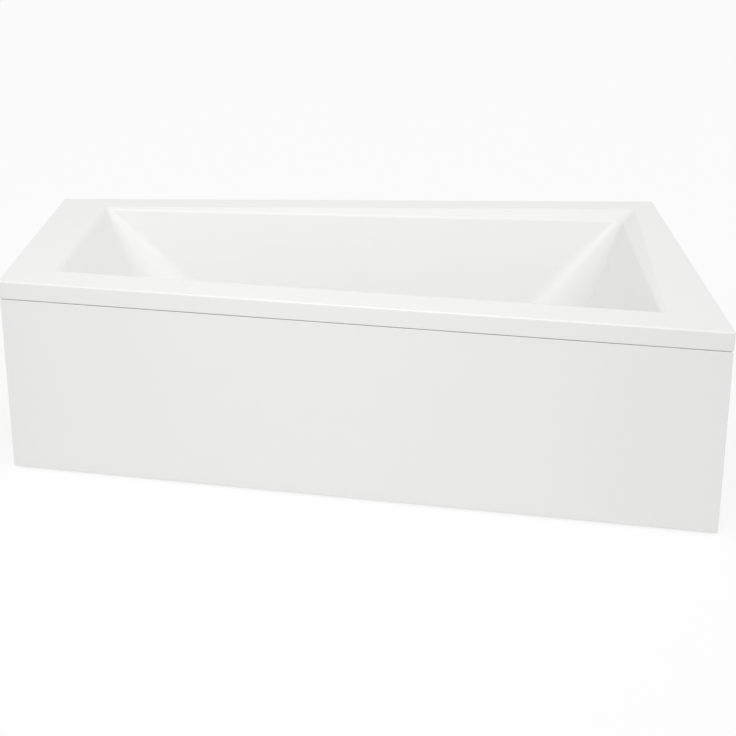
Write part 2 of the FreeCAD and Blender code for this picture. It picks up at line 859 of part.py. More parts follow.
def panel_magnets():
    """Round magnets on the tabs of the panel arms."""
    seats = [magnet_seat(side) for side in rail_places]
    return Part.makeCompound([rod(magnet_radius, seat, seat - inward * magnet_height) for seat in seats])


def panel_strike_plates():
    """Steel plates on the panel's back that the magnets hold."""
    half = strike_plate_size / 2
    plates = []
    for side, x in rail_places.items():
        height = magnet_seat(side).z
        plates.append(front_block(x, (-half, half), (panel_back, panel_back + strike_plate_sheet),
                                  (height - half, height + half)))
    return Part.makeCompound(plates)


def wall_bracket(name):
    """Folded bracket: under the batten, down inside the lip, out below it and down the wall."""
    half = bracket_width / 2
    wide = (-half, half)
    sheet = bracket_sheet
    foot_top = lip_bottom - fit_gap
    under_batten = block(wide, (-bracket_back - batten_width, -bracket_back),
                         (batten_under - sheet, batten_under))
    inside_lip = block(wide, (-bracket_back - sheet, -bracket_back), (foot_top - sheet, batten_under))
    below_lip = block(wide, (-bracket_back - sheet, 0), (foot_top - sheet, foot_top))
    on_wall = block(wide, (-sheet, 0), (foot_top - bracket_drop, foot_top))
    bracket = joined([under_batten, inside_lip, below_lip, on_wall])
    hole_height = foot_top - bracket_hole_drop
    for s in (-1, 1):
        centre = FreeCAD.Vector(s * bracket_hole_pitch / 2, 0, hole_height)
        reach = FreeCAD.Vector(0, 2 * sheet, 0)
        bracket = bracket.cut(rod(bracket_hole_radius, centre - reach, centre + reach))
    bracket.Placement = bracket_placement(name)
    radius = screw_shank_radius + hole_gap
    return carved(bracket, [sheet_hole(radius, seat, sheet) for seat in bracket_screw_seats(name)])


def wall_bracket_screws():
    """Wood screws through the wall brackets into the rim battens."""
    seats = [seat for name in bracket_places for seat in bracket_screw_seats(name)]
    return Part.makeCompound([wood_screw(seat, up) for seat in seats])


def spoked_hub(bore, start, end):
    """Hub with spokes that guides a shaft in the middle of a fitting's tube."""
    axis = (end - start).normalize()
    side = axis.cross(along).normalize()
    reach = tube_bore + drain_tube_wall / 2
    middle = (start + end) / 2
    half = (end - start).Length / 2
    arms = []
    for i in range(spoke_count):
        corner = FreeCAD.Vector(0, -spoke_width / 2, -half)
        arm = Part.makeBox(reach, spoke_width, 2 * half, corner)
        turn = FreeCAD.Rotation(FreeCAD.Vector(0, 0, 1), 360 * i / spoke_count)
        frame = FreeCAD.Rotation(along, side, axis, "ZXY")
        arm.Placement = FreeCAD.Placement(middle, frame.multiply(turn))
        arms.append(arm)
    return joined([rod(hub_radius, start, end)] + arms).cut(rod(bore, start, end))


def drain_flange():
    """Metal rim of the drain with its threaded tube and the hub that guides the plug's stem."""
    rim = cone(drain_rim_radius, drain_rim_radius - drain_rim_taper,
               at_drain(drain_rim_bottom), at_drain(drain_rim_top))
    tube_bottom = at_drain(drain_body_top - thread_engagement)
    tube = rod(drain_tube_radius, tube_bottom, at_drain(drain_rim_top))
    bore = rod(tube_bore, tube_bottom, at_drain(drain_rim_top))
    hub = spoked_hub(stem_radius + running_gap, tube_bottom, tube_bottom + up * spoke_height)
    return joined([joined([rim, tube]).cut(bore), hub])


def drain_seal_top():
    """Thin ring between the drain's rim and the floor."""
    return pipe(drain_rim_radius - drain_rim_taper, drain_hole_radius + hole_gap,
                at_drain(floor_height), at_drain(drain_rim_bottom))


def drain_seal_bottom():
    """Thick ring between the backing and the drain body."""
    return pipe(drain_flange_radius - drain_rim_taper, drain_hole_radius + hole_gap,
                at_drain(drain_body_top), at_drain(backing_under))


def waste_point(aside, run, height):
    """Point in the upright plane of the waste line, or aside from it."""
    return front_point(waste_x, aside, run, height)


def drain_body():
    """Cup under the floor with an outlet to the trap, a stub for the hose and a boss for the cable."""
    bottom = at_drain(drain_floor - drain_body_wall)
    top = at_drain(drain_body_top)
    flange = rod(drain_flange_radius, top - up * drain_flange_height, top)
    cup = rod(body_outer_radius, bottom, top)
    axis = at_drain(drain_axis_height)
    reach = FreeCAD.Vector(0, drain_outlet_reach, 0)
    outlet = rod(pipe_radius, axis, axis + reach)
    stub_start = waste_point(0, drain_run, hose_axis_height)
    shoulder_end = waste_point(0, hose_end_run, hose_axis_height)
    stub_end = shoulder_end - inward * stub_length
    boss = rod(cable_boss_radius, waste_point(cable_side_offset, drain_run - stem_radius, hose_axis_height),
               waste_point(cable_side_offset, hose_end_run, hose_axis_height))
    body = joined([flange, cup, outlet, rod(stub_radius, stub_start, stub_end),
                   rod(shoulder_radius, stub_start, shoulder_end), boss])
    hollow = [rod(fitting_bore, at_drain(drain_floor), top + up),
              rod(pipe_radius - pipe_wall, axis, axis + reach + reach),
              rod(stub_radius - stub_wall, stub_start, stub_end - inward)]
    pin_hole = rod(lever_pin_radius, *lever_pin_ends(lever_pin_radius))
    return carved(body, hollow + [pin_hole])


def lever_pin_ends(extra):
    """End points of the lever's pin, through the walls of the drain body, lengthened at both ends."""
    chord = math.sqrt(body_outer_radius ** 2 - lever_arm ** 2)
    reach = chord + extra
    return [waste_point(s * reach, drain_run - lever_arm, lever_pivot_height) for s in (-1, 1)]


def lever_pin():
    """Pin across the drain body that the lift lever turns on."""
    return rod(lever_pin_radius - running_gap / 2, *lever_pin_ends(0))


def lift_lever():
    """Lever under the plug's stem, at the low end of its swing."""
    half = lever_hub_length / 2
    pivot = waste_point(0, drain_run - lever_arm, lever_pivot_height)
    hub = rod(lever_hub_radius, pivot - along * half, pivot + along * half)
    swing = math.radians(lever_half_swing)
    tip = pivot + inward * (lever_arm * math.cos(swing)) - up * (lever_arm * math.sin(swing))
    bar = rod(lever_bar_radius, pivot, tip)
    lever = joined([hub, bar, Part.makeSphere(lever_tip_radius, tip)])
    bore_reach = along * (2 * half)
    return lever.cut(rod(lever_pin_radius + running_gap / 2, pivot - bore_reach, pivot + bore_reach))


def plug_cap():
    """Domed plug with a skirt and the stem that the lever lifts."""
    bottom = drain_rim_top + fit_gap
    cap = rod(plug_radius, at_drain(bottom), at_drain(bottom + plug_height))
    rim = [edge for edge in cap.Edges if edge.BoundBox.ZMin > bottom + fit_gap and edge.Closed]
    cap = cap.makeFillet(plug_edge_radius, rim)
    skirt = rod(plug_skirt_radius, at_drain(bottom - plug_skirt_height), at_drain(bottom))
    stem = rod(stem_radius, at_drain(stem_bottom), at_drain(bottom))
    return joined([cap, skirt, stem])


def plug_seal():
    """Ring round the plug's skirt that closes the drain."""
    height = drain_rim_top + fit_gap - plug_skirt_height / 2
    ring_radius = plug_skirt_radius + running_gap + plug_seal_radius
    return Part.makeTorus(ring_radius, plug_seal_radius, at_drain(height), up)


def overflow_faceplate():
    """Plate on the basin wall with its threaded tube and the hub that carries the spindle."""
    front = at_overflow(overflow_plate_height)
    tube_end = at_overflow(-overflow_tube_end)
    plate = rod(overflow_plate_radius, at_overflow(0), front)
    tube = rod(drain_tube_radius, tube_end, front)
    bore = rod(tube_bore, tube_end, front)
    hub = spoked_hub(spindle_radius + running_gap, front - overflow_axis * spoke_height, front)
    return joined([joined([plate, tube]).cut(bore), hub])


def overflow_seal():
    """Ring between the backing and the overflow body."""
    return pipe(overflow_plate_radius, drain_hole_radius + hole_gap,
                at_overflow(-overflow_back), at_overflow(-cup_start))


def overflow_body():
    """Cup behind the wall with a stub for the hose and a boss for the cable."""
    cup_mouth = at_overflow(-cup_start)
    flange = rod(overflow_plate_radius, cup_mouth, cup_mouth - overflow_axis * drain_flange_height)
    cup = rod(cup_outer_radius, cup_mouth, at_overflow(-cup_end))
    shoulder_end = cup_middle - up * (cup_middle.z - hose_top)
    stub_end = shoulder_end - up * stub_length
    boss_start = cup_middle + along * cable_side_offset
    boss = rod(cable_boss_radius, boss_start, boss_start - up * (cup_middle.z - hose_top))
    body = joined([flange, cup, rod(shoulder_radius, cup_middle, shoulder_end),
                   rod(stub_radius, cup_middle, stub_end), boss])
    hollow = [rod(fitting_bore, at_overflow(0), at_overflow(-cup_end + overflow_cup_floor)),
              rod(stub_radius - stub_wall, cup_middle, stub_end - up)]
    return carved(body, hollow)


def overflow_knob():
    """Turning knob with a straight grip across its face."""
    disc = Part.makeCylinder(knob_radius, knob_height)
    grip_bottom = knob_height / 2
    corner = FreeCAD.Vector(-knob_radius + knob_edge_radius, -knob_grip_width / 2, grip_bottom)
    grip = Part.makeBox(2 * (knob_radius - knob_edge_radius), knob_grip_width,
                        knob_height / 2 + knob_grip_height, corner)
    grip_edges = [edge for edge in grip.Edges if edge.BoundBox.ZMax > grip_bottom + knob_edge_radius]
    grip = grip.makeFillet(knob_edge_radius, grip_edges)
    front_rim = [edge for edge in disc.Edges if edge.BoundBox.ZMin > grip_bottom]
    knob = joined([disc.makeFillet(knob_edge_radius, front_rim), grip])
    knob = knob.cut(Part.makeCylinder(spindle_radius + thread_gap / 2, knob_socket_depth))
    seat = at_overflow(overflow_plate_height + knob_gap)
    side = overflow_axis.cross(along).normalize()
    knob.Placement = FreeCAD.Placement(seat, FreeCAD.Rotation(along, side, overflow_axis, "ZXY"))
    return knob


def knob_spindle():
    """Spindle from the knob to the crank that pulls the cable inside the overflow body."""
    crank_start = at_overflow(-cup_end + overflow_cup_floor + crank_clearance)
    crank = rod(crank_radius, crank_start, crank_start + overflow_axis * crank_height)
    knob_back = overflow_plate_height + knob_gap
    shaft = rod(spindle_radius, crank_start, at_overflow(knob_back + knob_socket_depth))
    return joined([crank, shaft])


def waste_path(aside, end_run):
    """Route from under the overflow to the drain: down, round one bend and along the floor."""
    bend = hose_bend_radius
    middle = bend * (1 - math.sqrt(0.5))
    top = waste_point(aside, hose_run, hose_top)
    bend_start = waste_point(aside, hose_run, hose_axis_height + bend)
    bend_middle = waste_point(aside, hose_run + middle, hose_axis_height + middle)
    bend_end = waste_point(aside, hose_run + bend, hose_axis_height)
    end = waste_point(aside, end_run, hose_axis_height)
    return Part.Wire([Part.LineSegment(top, bend_start).toShape(),
                      Part.Arc(bend_start, bend_middle, bend_end).toShape(),
                      Part.LineSegment(bend_end, end).toShape()])


def swept_tube(path, radius):
    """Round bar of one radius along a path that starts downwards."""
    start = path.OrderedVertexes[0].Point
    ring = Part.Wire([Part.Circle(start, up, radius).toShape()])
    return path.makePipeShell([ring], True, False)


def hose_station(distance):
    """Centre and direction of the hose at a distance along its route from the overflow."""
    drop = hose_top - hose_axis_height - hose_bend_radius
    bend_length = hose_bend_radius * math.pi / 2
    if distance <= drop:
        return waste_point(0, hose_run, hose_top - distance), -up
    if distance >= drop + bend_length:
        along_floor = distance - drop - bend_length
        return waste_point(0, hose_run + hose_bend_radius + along_floor, hose_axis_height), inward
    turn = (distance - drop) / hose_bend_radius
    run = hose_run + hose_bend_radius * (1 - math.cos(turn))
    height = hose_axis_height + hose_bend_radius * (1 - math.sin(turn))
    return waste_point(0, run, height), inward * math.sin(turn) - up * math.cos(turn)


def hose_ring(distance, radius):
    """Round section of the hose, square to its route."""
    centre, direction = hose_station(distance)
    circle = Part.Circle(centre, direction, radius)
    circle.XAxis = along
    return Part.Wire([circle.toShape()])


def overflow_hose():
    """Ribbed hose with plain cuffs at both ends."""
    path = waste_path(0, hose_end_run)
    ribbed = path.Length - 2 * hose_straight_end
    ribs = int(ribbed / hose_rib_pitch)
    pitch = ribbed / ribs
    rings = [hose_ring(0, hose_cuff_radius), hose_ring(hose_straight_end - pitch / 4, hose_cuff_radius)]
    for i in range(ribs):
        start = hose_straight_end + i * pitch
        for quarter, radius in enumerate((hose_valley, hose_crest, hose_crest, hose_valley)):
            rings.append(hose_ring(start + quarter * pitch / 4, radius))
    rings.append(hose_ring(path.Length - hose_straight_end + pitch / 4, hose_cuff_radius))
    rings.append(hose_ring(path.Length, hose_cuff_radius))
    return Part.makeLoft(rings, True, True).cut(swept_tube(path, hose_bore))


def hose_clamps():
    """Band clamps on the two cuffs of the hose, each with its tightening screw."""
    inner = hose_cuff_radius + running_gap
    outer = inner + clamp_sheet
    path_length = waste_path(0, hose_end_run).Length
    clamps = []
    for distance in (hose_straight_end / 2, path_length - hose_straight_end / 2):
        centre, direction = hose_station(distance)
        half = direction * (clamp_width / 2)
        band = rod(outer, centre - half, centre + half)
        side = direction.cross(along).normalize()
        screw_centre = centre + side * (outer + clamp_screw_radius / 2)
        reach = along * (clamp_screw_length / 2)
        screw = rod(clamp_screw_radius, screw_centre - reach, screw_centre + reach)
        clamps.append(joined([band, screw]).cut(rod(inner, centre - half * 2, centre + half * 2)))
    return Part.makeCompound(clamps)


def pull_cable():
    """Sheathed cable from the overflow body to the drain body."""
    return swept_tube(waste_path(cable_side_offset, hose_end_run), cable_radius)


# Trap: the pot stands behind the drain on the outlet's axis, which runs to the back wall
outlet_axis = at_drain(drain_axis_height)
trap_reach = drain_outlet_reach + trap_neck + trap_radius


def on_outlet(reach):
    """Point on the outlet's axis, reached towards the back wall from the drain."""
    return outlet_axis + FreeCAD.Vector(0, reach, 0)


trap_centre = FreeCAD.Vector(drain_centre.x, drain_centre.y + trap_reach, 0)
outlet_socket_end = trap_reach + trap_radius + trap_neck + socket_overlap
pipe_end_reach = back_y - pipe_back_gap - outlet_axis.y


def trap_body():
    """Round pot with a socket for the drain's outlet, a socket for the pipe and an opening below."""
    pot = rod(trap_radius, trap_centre + up * trap_bottom, trap_centre + up * trap_top)
    sockets = rod(socket_radius, on_outlet(drain_outlet_reach - socket_overlap), on_outlet(outlet_socket_end))
    inside = rod(trap_radius - trap_wall, trap_centre + up * (trap_bottom + trap_wall),
                 trap_centre + up * (trap_top - trap_wall))
    opening = rod(trap_opening_radius + thread_gap, trap_centre + up * (trap_bottom - trap_wall),
                  trap_centre + up * (trap_bottom + 2 * trap_wall))
    inlet = rod(socket_bore, on_outlet(0), on_outlet(drain_outlet_reach + thread_gap))
    outlet = rod(socket_bore, on_outlet(outlet_socket_end - socket_overlap), on_outlet(2 * outlet_socket_end))
    bore = rod(pipe_radius - pipe_wall, on_outlet(0), on_outlet(2 * outlet_socket_end))
    return carved(joined([pot, sockets]), [inside, opening, inlet, outlet, bore])


def trap_cap():
    """Cleaning cap with a spigot in the pot's opening and a bar to grip it by."""
    plate_bottom = trap_bottom - trap_cap_plate
    plate = rod(trap_cap_radius, trap_centre + up * plate_bottom, trap_centre + up * trap_bottom)
    spigot = pipe(trap_opening_radius, trap_opening_radius - trap_wall, trap_centre + up * trap_bottom,
                  trap_centre + up * (trap_bottom + trap_cap_spigot))
    half = trap_cap_grip / 2
    grip = block((trap_centre.x - trap_opening_radius, trap_centre.x + trap_opening_radius),
                 (trap_centre.y - half, trap_centre.y + half),
                 (plate_bottom - trap_cap_grip, trap_bottom))
    return joined([plate, spigot, grip])


def union_nut(socket_end, direction):
    """Nut over the end of a socket, with a lip round the pipe that enters it."""
    lip_end = socket_end + direction * union_nut_lip
    start = lip_end - direction * union_nut_length
    inner = socket_radius + running_gap
    nut = polygon_prism(union_nut_sides, union_nut_flats, on_outlet(start), on_outlet(lip_end))
    nut = nut.cut(rod(inner, on_outlet(start), on_outlet(socket_end)))
    return nut.cut(rod(pipe_radius + thread_gap, on_outlet(start), on_outlet(lip_end)))


def outlet_pipe():
    """Waste pipe from the trap towards the back wall, with a ring where the next pipe's socket stops."""
    start = on_outlet(outlet_socket_end - socket_overlap)
    end = on_outlet(pipe_end_reach)
    ring_end = pipe_end_reach - pipe_spigot
    ring = rod(pipe_radius + stop_ring_height, on_outlet(ring_end - stop_ring_width), on_outlet(ring_end))
    return joined([rod(pipe_radius, start, end), ring]).cut(rod(pipe_radius - pipe_wall, start, end))


def all_parts():
    """Every piece of the bathtub by name."""
    parts = {
        "bath_shell": bath_shell(),
        "glassfibre_backing": glassfibre_backing(),
        "base_board": base_board(),
        "rail_screws": rail_screws(),
        "foot_nuts": foot_nuts(),
        "front_panel": front_panel(),
        "panel_stiffener": panel_stiffener(),
        "panel_clips": panel_clips(),
        "clip_screws": clip_screws(),
        "arm_bolts": arm_bolts(),
        "panel_magnets": panel_magnets(),
        "panel_strike_plates": panel_strike_plates(),
        "wall_bracket_screws": wall_bracket_screws(),
        "drain_flange": drain_flange(),
        "drain_seal_top": drain_seal_top(),
        "drain_seal_bottom": drain_seal_bottom(),
        "drain_body": drain_body(),
        "lever_pin": lever_pin(),
        "lift_lever": lift_lever(),
        "plug_cap": plug_cap(),
        "plug_seal": plug_seal(),
        "overflow_faceplate": overflow_faceplate(),
        "overflow_seal": overflow_seal(),
        "overflow_body": overflow_body(),
        "overflow_knob": overflow_knob(),
        "knob_spindle": knob_spindle(),
        "overflow_hose": overflow_hose(),
        "hose_clamps": hose_clamps(),
        "pull_cable": pull_cable(),
        "trap_body": trap_body(),
        "trap_cap": trap_cap(),
        "trap_inlet_nut": union_nut(drain_outlet_reach - socket_overlap, -1),
        "trap_outlet_nut": union_nut(outlet_socket_end, 1),
        "outlet_pipe": outlet_pipe(),
    }
    parts.update(rim_battens())
    for side in rail_places:
        parts["leg_rail_" + side] = leg_rail(side)
        parts["panel_arm_" + side] = panel_arm(side)
    for name in bracket_places:
        parts[name] = wall_bracket(name)
    for corner, place in foot_places.items():
        parts["foot_stud_" + corner] = foot_stud(place)
        parts["foot_pad_" + corner] = foot_pad(place)
    return parts


os.makedirs("parts", exist_ok=True)
for node, shape in all_parts().items():
    shape.exportStep("parts/" + node + ".step")
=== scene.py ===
"""Looks of a corner bathtub with a slanted straight front.

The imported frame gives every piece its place.  This script lays smooth surfaces over the acrylic, the
glass fibre, the hose and the feet, breaks the edges of the other pieces, gives every piece a procedural
finish, and sets up the floor, the lamps and the camera.  Lengths are metres and +Z is up.
"""

import json
import logging
import math
from abc import ABC, abstractmethod
from dataclasses import dataclass
from enum import Enum

import bmesh
import bpy
import numpy as np
from mathutils import Matrix, Vector
from numpy.typing import NDArray

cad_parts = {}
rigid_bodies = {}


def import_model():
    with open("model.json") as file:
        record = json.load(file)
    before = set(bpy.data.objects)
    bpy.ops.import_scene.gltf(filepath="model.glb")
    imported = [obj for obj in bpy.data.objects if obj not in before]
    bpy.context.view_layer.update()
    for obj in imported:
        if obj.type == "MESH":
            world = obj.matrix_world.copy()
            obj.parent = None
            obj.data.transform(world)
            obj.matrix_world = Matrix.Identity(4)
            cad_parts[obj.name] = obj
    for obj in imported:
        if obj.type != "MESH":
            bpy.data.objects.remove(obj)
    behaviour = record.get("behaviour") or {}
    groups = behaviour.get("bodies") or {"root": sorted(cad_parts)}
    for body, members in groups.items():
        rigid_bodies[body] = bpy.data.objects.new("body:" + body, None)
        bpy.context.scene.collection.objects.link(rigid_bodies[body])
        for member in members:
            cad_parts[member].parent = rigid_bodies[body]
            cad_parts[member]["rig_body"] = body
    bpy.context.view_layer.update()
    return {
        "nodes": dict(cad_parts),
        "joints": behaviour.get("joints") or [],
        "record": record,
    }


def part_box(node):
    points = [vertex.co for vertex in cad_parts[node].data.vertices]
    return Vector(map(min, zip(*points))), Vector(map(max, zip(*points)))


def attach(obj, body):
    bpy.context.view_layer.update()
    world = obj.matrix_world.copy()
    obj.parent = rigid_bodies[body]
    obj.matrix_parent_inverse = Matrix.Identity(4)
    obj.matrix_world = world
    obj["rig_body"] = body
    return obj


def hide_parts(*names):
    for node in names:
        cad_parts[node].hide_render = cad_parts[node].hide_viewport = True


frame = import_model()

Array = NDArray[np.float64]
Indices = NDArray[np.int64]
Colour = tuple[float, float, float]
Point = tuple[float, float, float]
Socket = bpy.types.NodeSocket

RIM_LENGTH = 1.7
WIDE_END = 1.0
NARROW_END = 0.7
FULL_TURN = 2 * math.pi
MERGE_DISTANCE = 1e-6
FLAT_ANGLE = math.radians(0.6)
SHARP_ANGLE = math.radians(36)
BEVEL_STEPS = 2
UP = np.array([0.0, 0.0, 1.0])

logging.basicConfig(level=logging.INFO, format="%(name)s: %(message)s")
log = logging.getLogger("bathtub")


class Body(Enum):
    """Bodies that the new pieces ride on."""

    TUB = "tub"
    PANEL = "panel"


class Grain(Enum):
    """Direction of the wood grain, as a turn about the upright axis from +X."""

    ALONG_BACK = 0.0
    ALONG_END = math.pi / 2
    ALONG_FRONT = -math.atan2(WIDE_END - NARROW_END, RIM_LENGTH)


@dataclass
class Surface:
    """Points and four-cornered faces of a piece that isn't in a mesh yet.

    Attributes:
        points: Places, one row of three numbers per point.
        faces: Point numbers, one row of four per face.
    """

    points: Array
    faces: Indices

    @staticmethod
    def from_rows(rows: Array, closed: bool = False) -> "Surface":
        """Joins rows of points that each close on themselves into faces.

        Args:
            rows: Points in rows, as an array of row by place in the row by three.
            closed: Whether the last row joins the first.

        Returns:
            The surface, with face number row times row length plus place.
        """
        numbers = np.arange(rows[..., 0].size).reshape(rows.shape[:2])
        if closed:
            numbers = np.concatenate([numbers, numbers[:1]])
        return Surface(rows.reshape(-1, 3), strips(numbers))

    def joined(self, other: "Surface") -> "Surface":
        """Returns this surface and another as one."""
        return Surface(np.concatenate([self.points, other.points]),
                       np.concatenate([self.faces, other.faces + len(self.points)]))

    def pierced(self, holes: list["Hole"], row_length: int, rings: int = 3) -> "Surface":
        """Opens round holes in blocks of a surface made from rows, and joins the two holes by a tube.

        Each block's faces go, and rings that pass from the block's outline to the circle take their
        place.  A point of a ring is the share of the way from its outline point to the circle point
        in the same direction from the hole's centre.

        Args:
            holes: The hole on the near face and the hole on the far face of one wall.
            row_length: Points in each row of the surface.
            rings: Rings between the outline and the circle.

        Returns:
            The surface with the open holes and the tube between them.
        """
        points, faces = self.points, self.faces
        keep = np.ones(len(faces), dtype=bool)
        added: list[Indices] = []
        circles: list[Indices] = []
        for hole in holes:
            first, last = sorted((hole.top_row, hole.bottom_row))
            block = np.add.outer(np.arange(first, last) * row_length, np.arange(hole.first, hole.last))
            keep[block.ravel()] = False
            loop = hole.outline(row_length)
            circle = hole.centre + unit(points[loop] - hole.centre) * hole.radius
            new = between(points[loop], circle, np.linspace(0, 1, rings + 1)[1:])
            numbers = len(points) + np.arange(new[..., 0].size).reshape(rings, -1)
            points = np.concatenate([points, new.reshape(-1, 3)])
            added.append(strips(np.concatenate([loop[None], numbers])))
            circles.append(numbers[-1])
        added.append(strips(np.stack(circles)))
        return Surface(points, np.concatenate([faces[keep], *added]))


@dataclass(frozen=True)
class Hole:
    """Round hole within a block of a surface made from rows.

    Attributes:
        centre: Middle of the hole on the surface.
        radius: Radius of the hole.
        top_row: Row at the block's upper side.
        bottom_row: Row at the block's lower side.
        first: First place of the block in its rows.
        last: Last place of the block in its rows.
    """

    centre: Array
    radius: float
    top_row: int
    bottom_row: int
    first: int
    last: int

    def outline(self, row_length: int) -> Indices:
        """Goes once round the block, from its upper first corner.

        Args:
            row_length: Points in each row of the surface.

        Returns:
            The numbers of the points on the way.
        """
        down = 1 if self.bottom_row > self.top_row else -1
        across = np.arange(self.first, self.last)
        rows = np.arange(self.top_row, self.bottom_row, down)
        return np.concatenate([
            self.top_row * row_length + across,
            rows * row_length + self.last,
            self.bottom_row * row_length + across[::-1] + 1,
            (rows[::-1] + down) * row_length + self.first,
        ])


def strips(numbers: Indices) -> Indices:
    """Returns the faces between rows of point numbers that each close on themselves."""
    ahead = np.roll(numbers, -1, axis=1)
    return np.stack([numbers[:-1], ahead[:-1], ahead[1:], numbers[1:]], axis=-1).reshape(-1, 4)


def turned(centre: Array, radii: Array, heights: Array, places: int) -> Surface:
    """Surface of revolution about an upright axis.

    A point lies at the row's radius from the axis, in the direction of its place's angle.

    Args:
        centre: Place of the axis, seen from above.
        radii: Radius of each row, or of each place in each row.
        heights: Height of each row.
        places: Points in each row.

    Returns:
        The surface, whose end rows close where their radius is nothing.
    """
    angles = np.arange(places) * FULL_TURN / places
    radii = np.broadcast_to(radii.reshape(len(heights), -1), (len(heights), places))
    x = centre[0] + radii * np.cos(angles)
    y = centre[1] + radii * np.sin(angles)
    z = np.broadcast_to(heights[:, None], radii.shape)
    return Surface.from_rows(np.stack([x, y, z], axis=-1))


def quarter(radius: float, steps: int) -> tuple[Array, Array]:
    """Returns how far a quarter round has come in and risen at even steps of its turn."""
    turn = np.linspace(0, math.pi / 2, steps)
    return radius * (1 - np.cos(turn)), radius * np.sin(turn)


def unit(vectors: Array) -> Array:
    """Returns vectors of length one."""
    return vectors / np.linalg.norm(vectors, axis=-1, keepdims=True)


def between(start: Array, end: Array | float, shares: Array) -> Array:
    """Returns one set of values for each share: the start plus the share of the way to the end."""
    return start + (end - start) * shares.reshape(-1, *[1] * start.ndim)


def clean(mesh: bpy.types.Mesh, is_node: bool) -> None:
    """Merges a mesh's double points, then joins its flat triangles or turns its faces outwards.

    Args:
        mesh: Mesh that is cleaned.
        is_node: Whether it is a node's copy, whose triangles already point outwards.
    """
    tidy = bmesh.new()
    tidy.from_mesh(mesh)
    bmesh.ops.remove_doubles(tidy, verts=tidy.verts, dist=MERGE_DISTANCE)
    if is_node:
        bmesh.ops.dissolve_limit(tidy, angle_limit=FLAT_ANGLE, verts=tidy.verts, edges=tidy.edges)
    else:
        bmesh.ops.recalc_face_normals(tidy, faces=tidy.faces)
    tidy.to_mesh(mesh)
    tidy.free()
    mesh.polygons.foreach_set("use_smooth", np.ones(len(mesh.polygons), dtype=bool))


def dressed(mesh: bpy.types.Mesh, finish: "Finish", bevel: float = 0.0) -> bpy.types.Object:
    """Makes an object of a mesh, with its finish and even normals.

    Args:
        mesh: Mesh in the shared frame, whose name the object takes.
        finish: Finish of the piece.
        bevel: Width of the broken edges, or nought for a mesh that has its own rounds.

    Returns:
        The object at the origin.
    """
    piece = bpy.data.objects.new(mesh.name, mesh)
    bpy.context.scene.collection.objects.link(piece)
    if bevel:
        edge = piece.modifiers.new("broken_edges", "BEVEL")
        edge.width = bevel
        edge.segments = BEVEL_STEPS
        edge.limit_method = "ANGLE"
        edge.angle_limit = SHARP_ANGLE
    even = piece.modifiers.new("even_normals", "WEIGHTED_NORMAL")
    even.keep_sharp = True
    mesh.materials.append(finish.material())
    return piece


def make_piece(name: str, surface: Surface, finish: "Finish", body: str,
               stands_for: tuple[str, ...]) -> None:
    """Puts a surface into a mesh, closes its seams, dresses it and makes it ride.

    Args:
        name: Name of the piece.
        surface: Points and faces in the shared frame.
        finish: Finish of the piece.
        body: Body that the piece moves with.
        stands_for: Nodes that the piece replaces.
    """
    mesh = bpy.data.meshes.new(name)
    corners = surface.faces.ravel()
    mesh.vertices.add(len(surface.points))
    mesh.vertices.foreach_set("co", surface.points.ravel())
    mesh.loops.add(len(corners))
    mesh.loops.foreach_set("vertex_index", corners)
    mesh.polygons.add(len(surface.faces))
    mesh.polygons.foreach_set("loop_start", np.arange(0, len(corners), surface.faces.shape[1]))
    mesh.update(calc_edges=True)
    clean(mesh, is_node=False)
    piece = dressed(mesh, finish)
    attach(piece, body)
    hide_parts(*stands_for)
    log.info("%s: %d faces on %s", name, len(mesh.polygons), body)


def soften(node: str, finish: "Finish", bevel: float) -> None:
    """Copies a node, merges its triangles, breaks its sharp edges, dresses it and makes it ride.

    Args:
        node: Node of the frame, which the copy stands for.
        finish: Finish of the piece.
        bevel: Width of the broken edges.
    """
    source = frame["nodes"][node]
    mesh = source.data.copy()
    mesh.name = node + "_dressed"
    mesh.materials.clear()
    clean(mesh, is_node=True)
    mesh.set_sharp_from_angle(angle=SHARP_ANGLE)
    piece = dressed(mesh, finish, bevel)
    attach(piece, source["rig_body"])
    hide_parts(node)
    slot_of(node)
    log.info("%s: %d faces on %s", piece.name, len(mesh.polygons), source["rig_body"])


def slot_of(node: str) -> str:
    """Returns the record's material slot of a node."""
    return next(row["material_slot"] for row in frame["record"]["subparts"] if row["node"] == node)


def larger_of(tree: bpy.types.NodeTree, one: Socket, two: Socket) -> Socket:
    """Compares two factors in a tree of nodes.

    Args:
        tree: Tree that the node goes into.
        one: First factor.
        two: Second factor.

    Returns:
        The larger of the two.
    """
    made = tree.nodes.new("ShaderNodeMath")
    made.operation = "MAXIMUM"
    tree.links.new(one, made.inputs[0])
    tree.links.new(two, made.inputs[1])
    return made.outputs["Value"]


